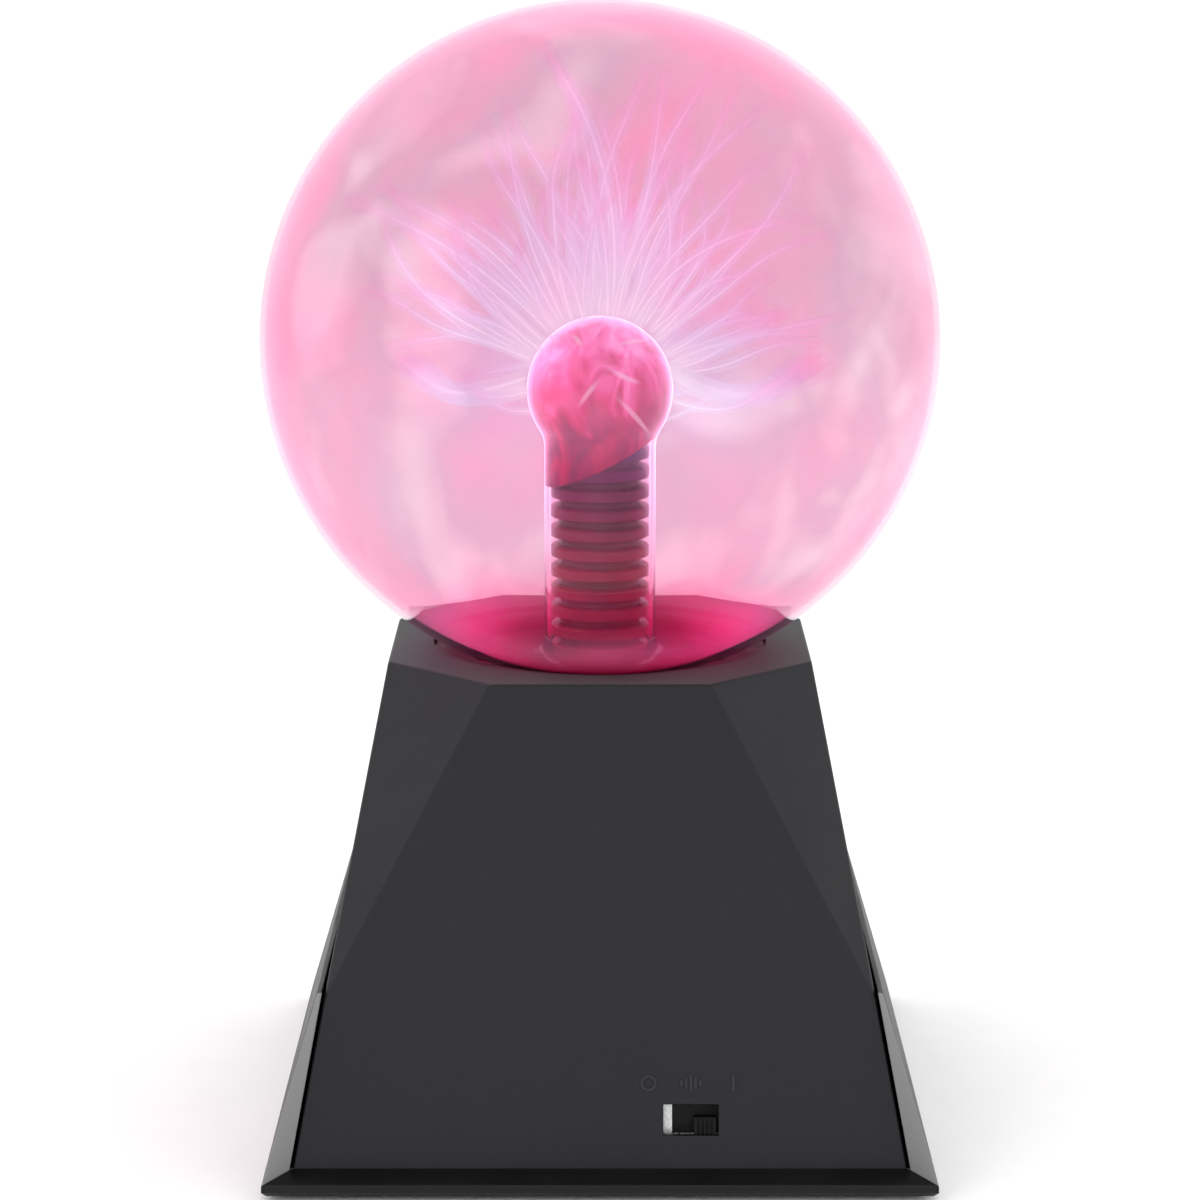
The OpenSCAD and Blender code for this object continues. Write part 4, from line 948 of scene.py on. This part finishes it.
# A copy of a CAD node with chosen edges rounded. Each rule is (radius, steps, test of an edge).
def roundedCopy(name, nodeName, rules):
    bm = bmesh.new()
    bm.from_mesh(nodes[nodeName].data)
    bmesh.ops.remove_doubles(bm, verts=bm.verts, dist=2e-6)
    bmesh.ops.dissolve_limit(bm, angle_limit=math.radians(0.4), verts=bm.verts, edges=bm.edges)
    for radius, steps, chosen in rules:
        bm.normal_update()
        picked = [e for e in bm.edges if len(e.link_faces) == 2 and e.is_convex
                  and e.calc_face_angle(0) > math.radians(30) and chosen(e.verts[0].co, e.verts[1].co)]
        bmesh.ops.bevel(bm, geom=picked, offset=radius, segments=steps, profile=0.5, affect="EDGES",
                        clamp_overlap=True)
        print(name, "edges rounded:", len(picked))
    bmesh.ops.triangulate(bm, faces=[f for f in bm.faces if len(f.verts) > 4])
    mesh = bpy.data.meshes.new(name)
    bm.to_mesh(mesh)
    bm.free()
    piece = placeMesh(name, mesh, 34)
    weighNormals(mesh, 34)
    return piece


housingEdges = {"corner": 0.55 * mm, "holeLip": 0.35 * mm, "windowLip": 0.25 * mm, "holeReach": 38 * mm,
                "windowHalf": 8 * mm, "windowLow": 10 * mm, "windowHigh": 21 * mm}


def makeHousing():
    shape, edges = housingShape, housingEdges
    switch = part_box("switch_case")
    middleX = (switch[0].x + switch[1].x) / 2

    def onSkin(place):
        reach = shape["topHalf"] + (housingTop - place.z) * shape["lean"]
        return abs(max(abs(place.x), abs(place.y)) - reach) < 0.03 * mm

    def corners(one, two):
        long = (one - two).length > 20 * mm
        return onSkin(one) and onSkin(two) and long and max(one.z, two.z) > shape["seat"] + mm

    def hole(one, two):
        return all(abs(v.z - housingTop) < 0.01 * mm and math.hypot(v.x, v.y) < edges["holeReach"] for v in (one, two))

    def window(one, two):
        return all(onSkin(v) and v.y < 0 and abs(v.x - middleX) < edges["windowHalf"]
                   and edges["windowLow"] < v.z < edges["windowHigh"] for v in (one, two))

    rules = [(edges["corner"], 3, corners), (edges["holeLip"], 2, hole), (edges["windowLip"], 2, window)]
    housing = roundedCopy("taperedHousing", "housing", rules)
    finishPiece(housing, texturedAbs(), "base", "housing_plastic", "housing")


plinthEdges = {"edge": 0.3 * mm, "ledgeLow": 3.5 * mm, "cheekInner": 58 * mm}


def makePlinth():
    edges = plinthEdges
    half, _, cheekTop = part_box("plinth")[1]

    def ledge(one, two):
        level = all(abs(abs(v.y) - half) < 0.01 * mm and v.z > edges["ledgeLow"] for v in (one, two))
        return level and abs(one.x - two.x) > 20 * mm

    def cheek(one, two):
        long = (one - two).length > 30 * mm
        return long and max(one.z, two.z) > cheekTop - 0.05 * mm and min(abs(one.x), abs(two.x)) > edges["cheekInner"]

    rules = [(edges["edge"], 2, lambda one, two: ledge(one, two) or cheek(one, two))]
    plinth = roundedCopy("cheekedPlinth", "plinth", rules)
    finishPiece(plinth, satinAbs(), "base", "plinth_plastic", "plinth")


# The knob's tones are darker than the nylon itself: painted shade of the switch window
knobLook = {"edge": 0.07 * mm, "shortest": 0.3 * mm, "tones": ("#020202", "#040404"), "roughness": 0.5,
            "patchMm": 2, "grainMm": 0.3, "shine": 0.22}


# Nylon, moulded: near black and satin, its tones darkened further as painted shade of the switch window it sits in
def makeKnob():
    look = knobLook
    rules = [(look["edge"], 2, lambda one, two: (one - two).length > look["shortest"])]
    knob = roundedCopy("ridgedKnob", "switch_knob", rules)
    finish = solidFinish("mouldedNylon", look["tones"], look["roughness"], patchMm=look["patchMm"],
                         grainMm=look["grainMm"], shine=look["shine"])
    finishPiece(knob, finish, "switch_slider", "knob_plastic", "switch_knob")


makeHousing()
makePlinth()
makeKnob()
print("housing, plinth and knob made")


# The other CAD nodes keep their shape. Each finish: tones, roughness, metallic, patch mm, grain mm, relief mm, nodes
cadFinishes = {
    "castNitrileRubber": (("#0c0c0d", "#131314"), 0.62, 0, 3, 0.3, 0.02, ["rubber_feet", "stem_plug"]),
    "siliconeSeat": (("#060607", "#0b0b0c"), 0.55, 0, 8, 0.8, 0.01, ["globe_gasket"]),
    "siliconeLead": (("#6e1410", "#84201a"), 0.45, 0, 5, 0.5, 0.01, ["hv_lead"]),
    "pvcWire": (("#8c1613", "#a3201c"), 0.4, 0, 4, 0.5, 0.01, ["jack_wires", "switch_wires"]),
    "steelWool": (("#7d7d80", "#b4b4b6"), 0.38, 1, 0.8, 0.25, 0.2, ["contact_wool"]),
    "glassFilledNylon": (("#101012", "#18181a"), 0.5, 0, 4, 0.4, 0.02, ["clamp_ring", "transformer_base"]),
    "zincPlatedSteel": (("#a9adb0", "#c6c9c9"), 0.28, 1, 1.5, 0.2, 0.01,
                        ["clamp_screws", "base_screws", "board_screws", "heatsink_screw", "switch_screws"]),
    "solderMaskedLaminate": (("#0d4a25", "#12592e"), 0.35, 0, 2.5, 0.5, 0.02, ["circuit_board"]),
    "pressedFerrite": (("#2b2b2f", "#3a3a3e"), 0.6, 0, 2, 0.3, 0.03, ["transformer_core"]),
    "enamelledCopper": (("#9c4a1e", "#c0662c"), 0.3, 1, 1.2, 0.3, 0.08, ["primary_winding"]),
    "castEpoxy": (("#0e0e14", "#15151d"), 0.22, 0, 8, 0.8, 0.01, ["hv_winding"]),
    "extrudedAluminium": (("#b9bbbe", "#cfd0d2"), 0.34, 1, 3, 0.3, 0.02, ["heatsink", "microphone"]),
    "mouldedEpoxy": (("#111112", "#1b1b1c"), 0.48, 0, 1.5, 0.2, 0.02, ["transistor", "control_chip"]),
    "shrinkSleeve": (("#141f4e", "#1b2a63"), 0.25, 0, 3, 0.6, 0.01, ["electrolytic_capacitors"]),
    "dippedEpoxy": (("#8e1a12", "#a6251a"), 0.2, 0, 3, 0.6, 0.01, ["film_capacitor"]),
    "resistorLacquer": (("#b5945c", "#c9a970"), 0.3, 0, 1.2, 0.3, 0.01, ["resistors"]),
    "jackNylon": (("#0a0a0b", "#101011"), 0.4, 0, 2, 0.3, 0.01, ["jack_body"]),
    "nickelPlatedBrass": (("#bdb7a6", "#d3cebf"), 0.2, 1, 1, 0.2, 0.01,
                          ["jack_pin", "jack_contact", "jack_nut", "switch_terminals", "switch_wiper"]),
    "tinnedSheetSteel": (("#b8babb", "#dcdddd"), 0.3, 1, 0.7, 0.15, 0.04, ["switch_case"]),
    "pressedPhenolic": (("#2a1a10", "#382316"), 0.5, 0, 1.2, 0.2, 0.02, ["switch_base"]),
}
for name, (tones, roughness, metallic, patchMm, grainMm, relief, members) in cadFinishes.items():
    finish = solidFinish(name, tones, roughness, metallic, patchMm, grainMm, relief)
    for member in members:
        slots = nodes[member].data.materials
        slots.clear()
        slots.append(finish)
print("CAD finishes set")
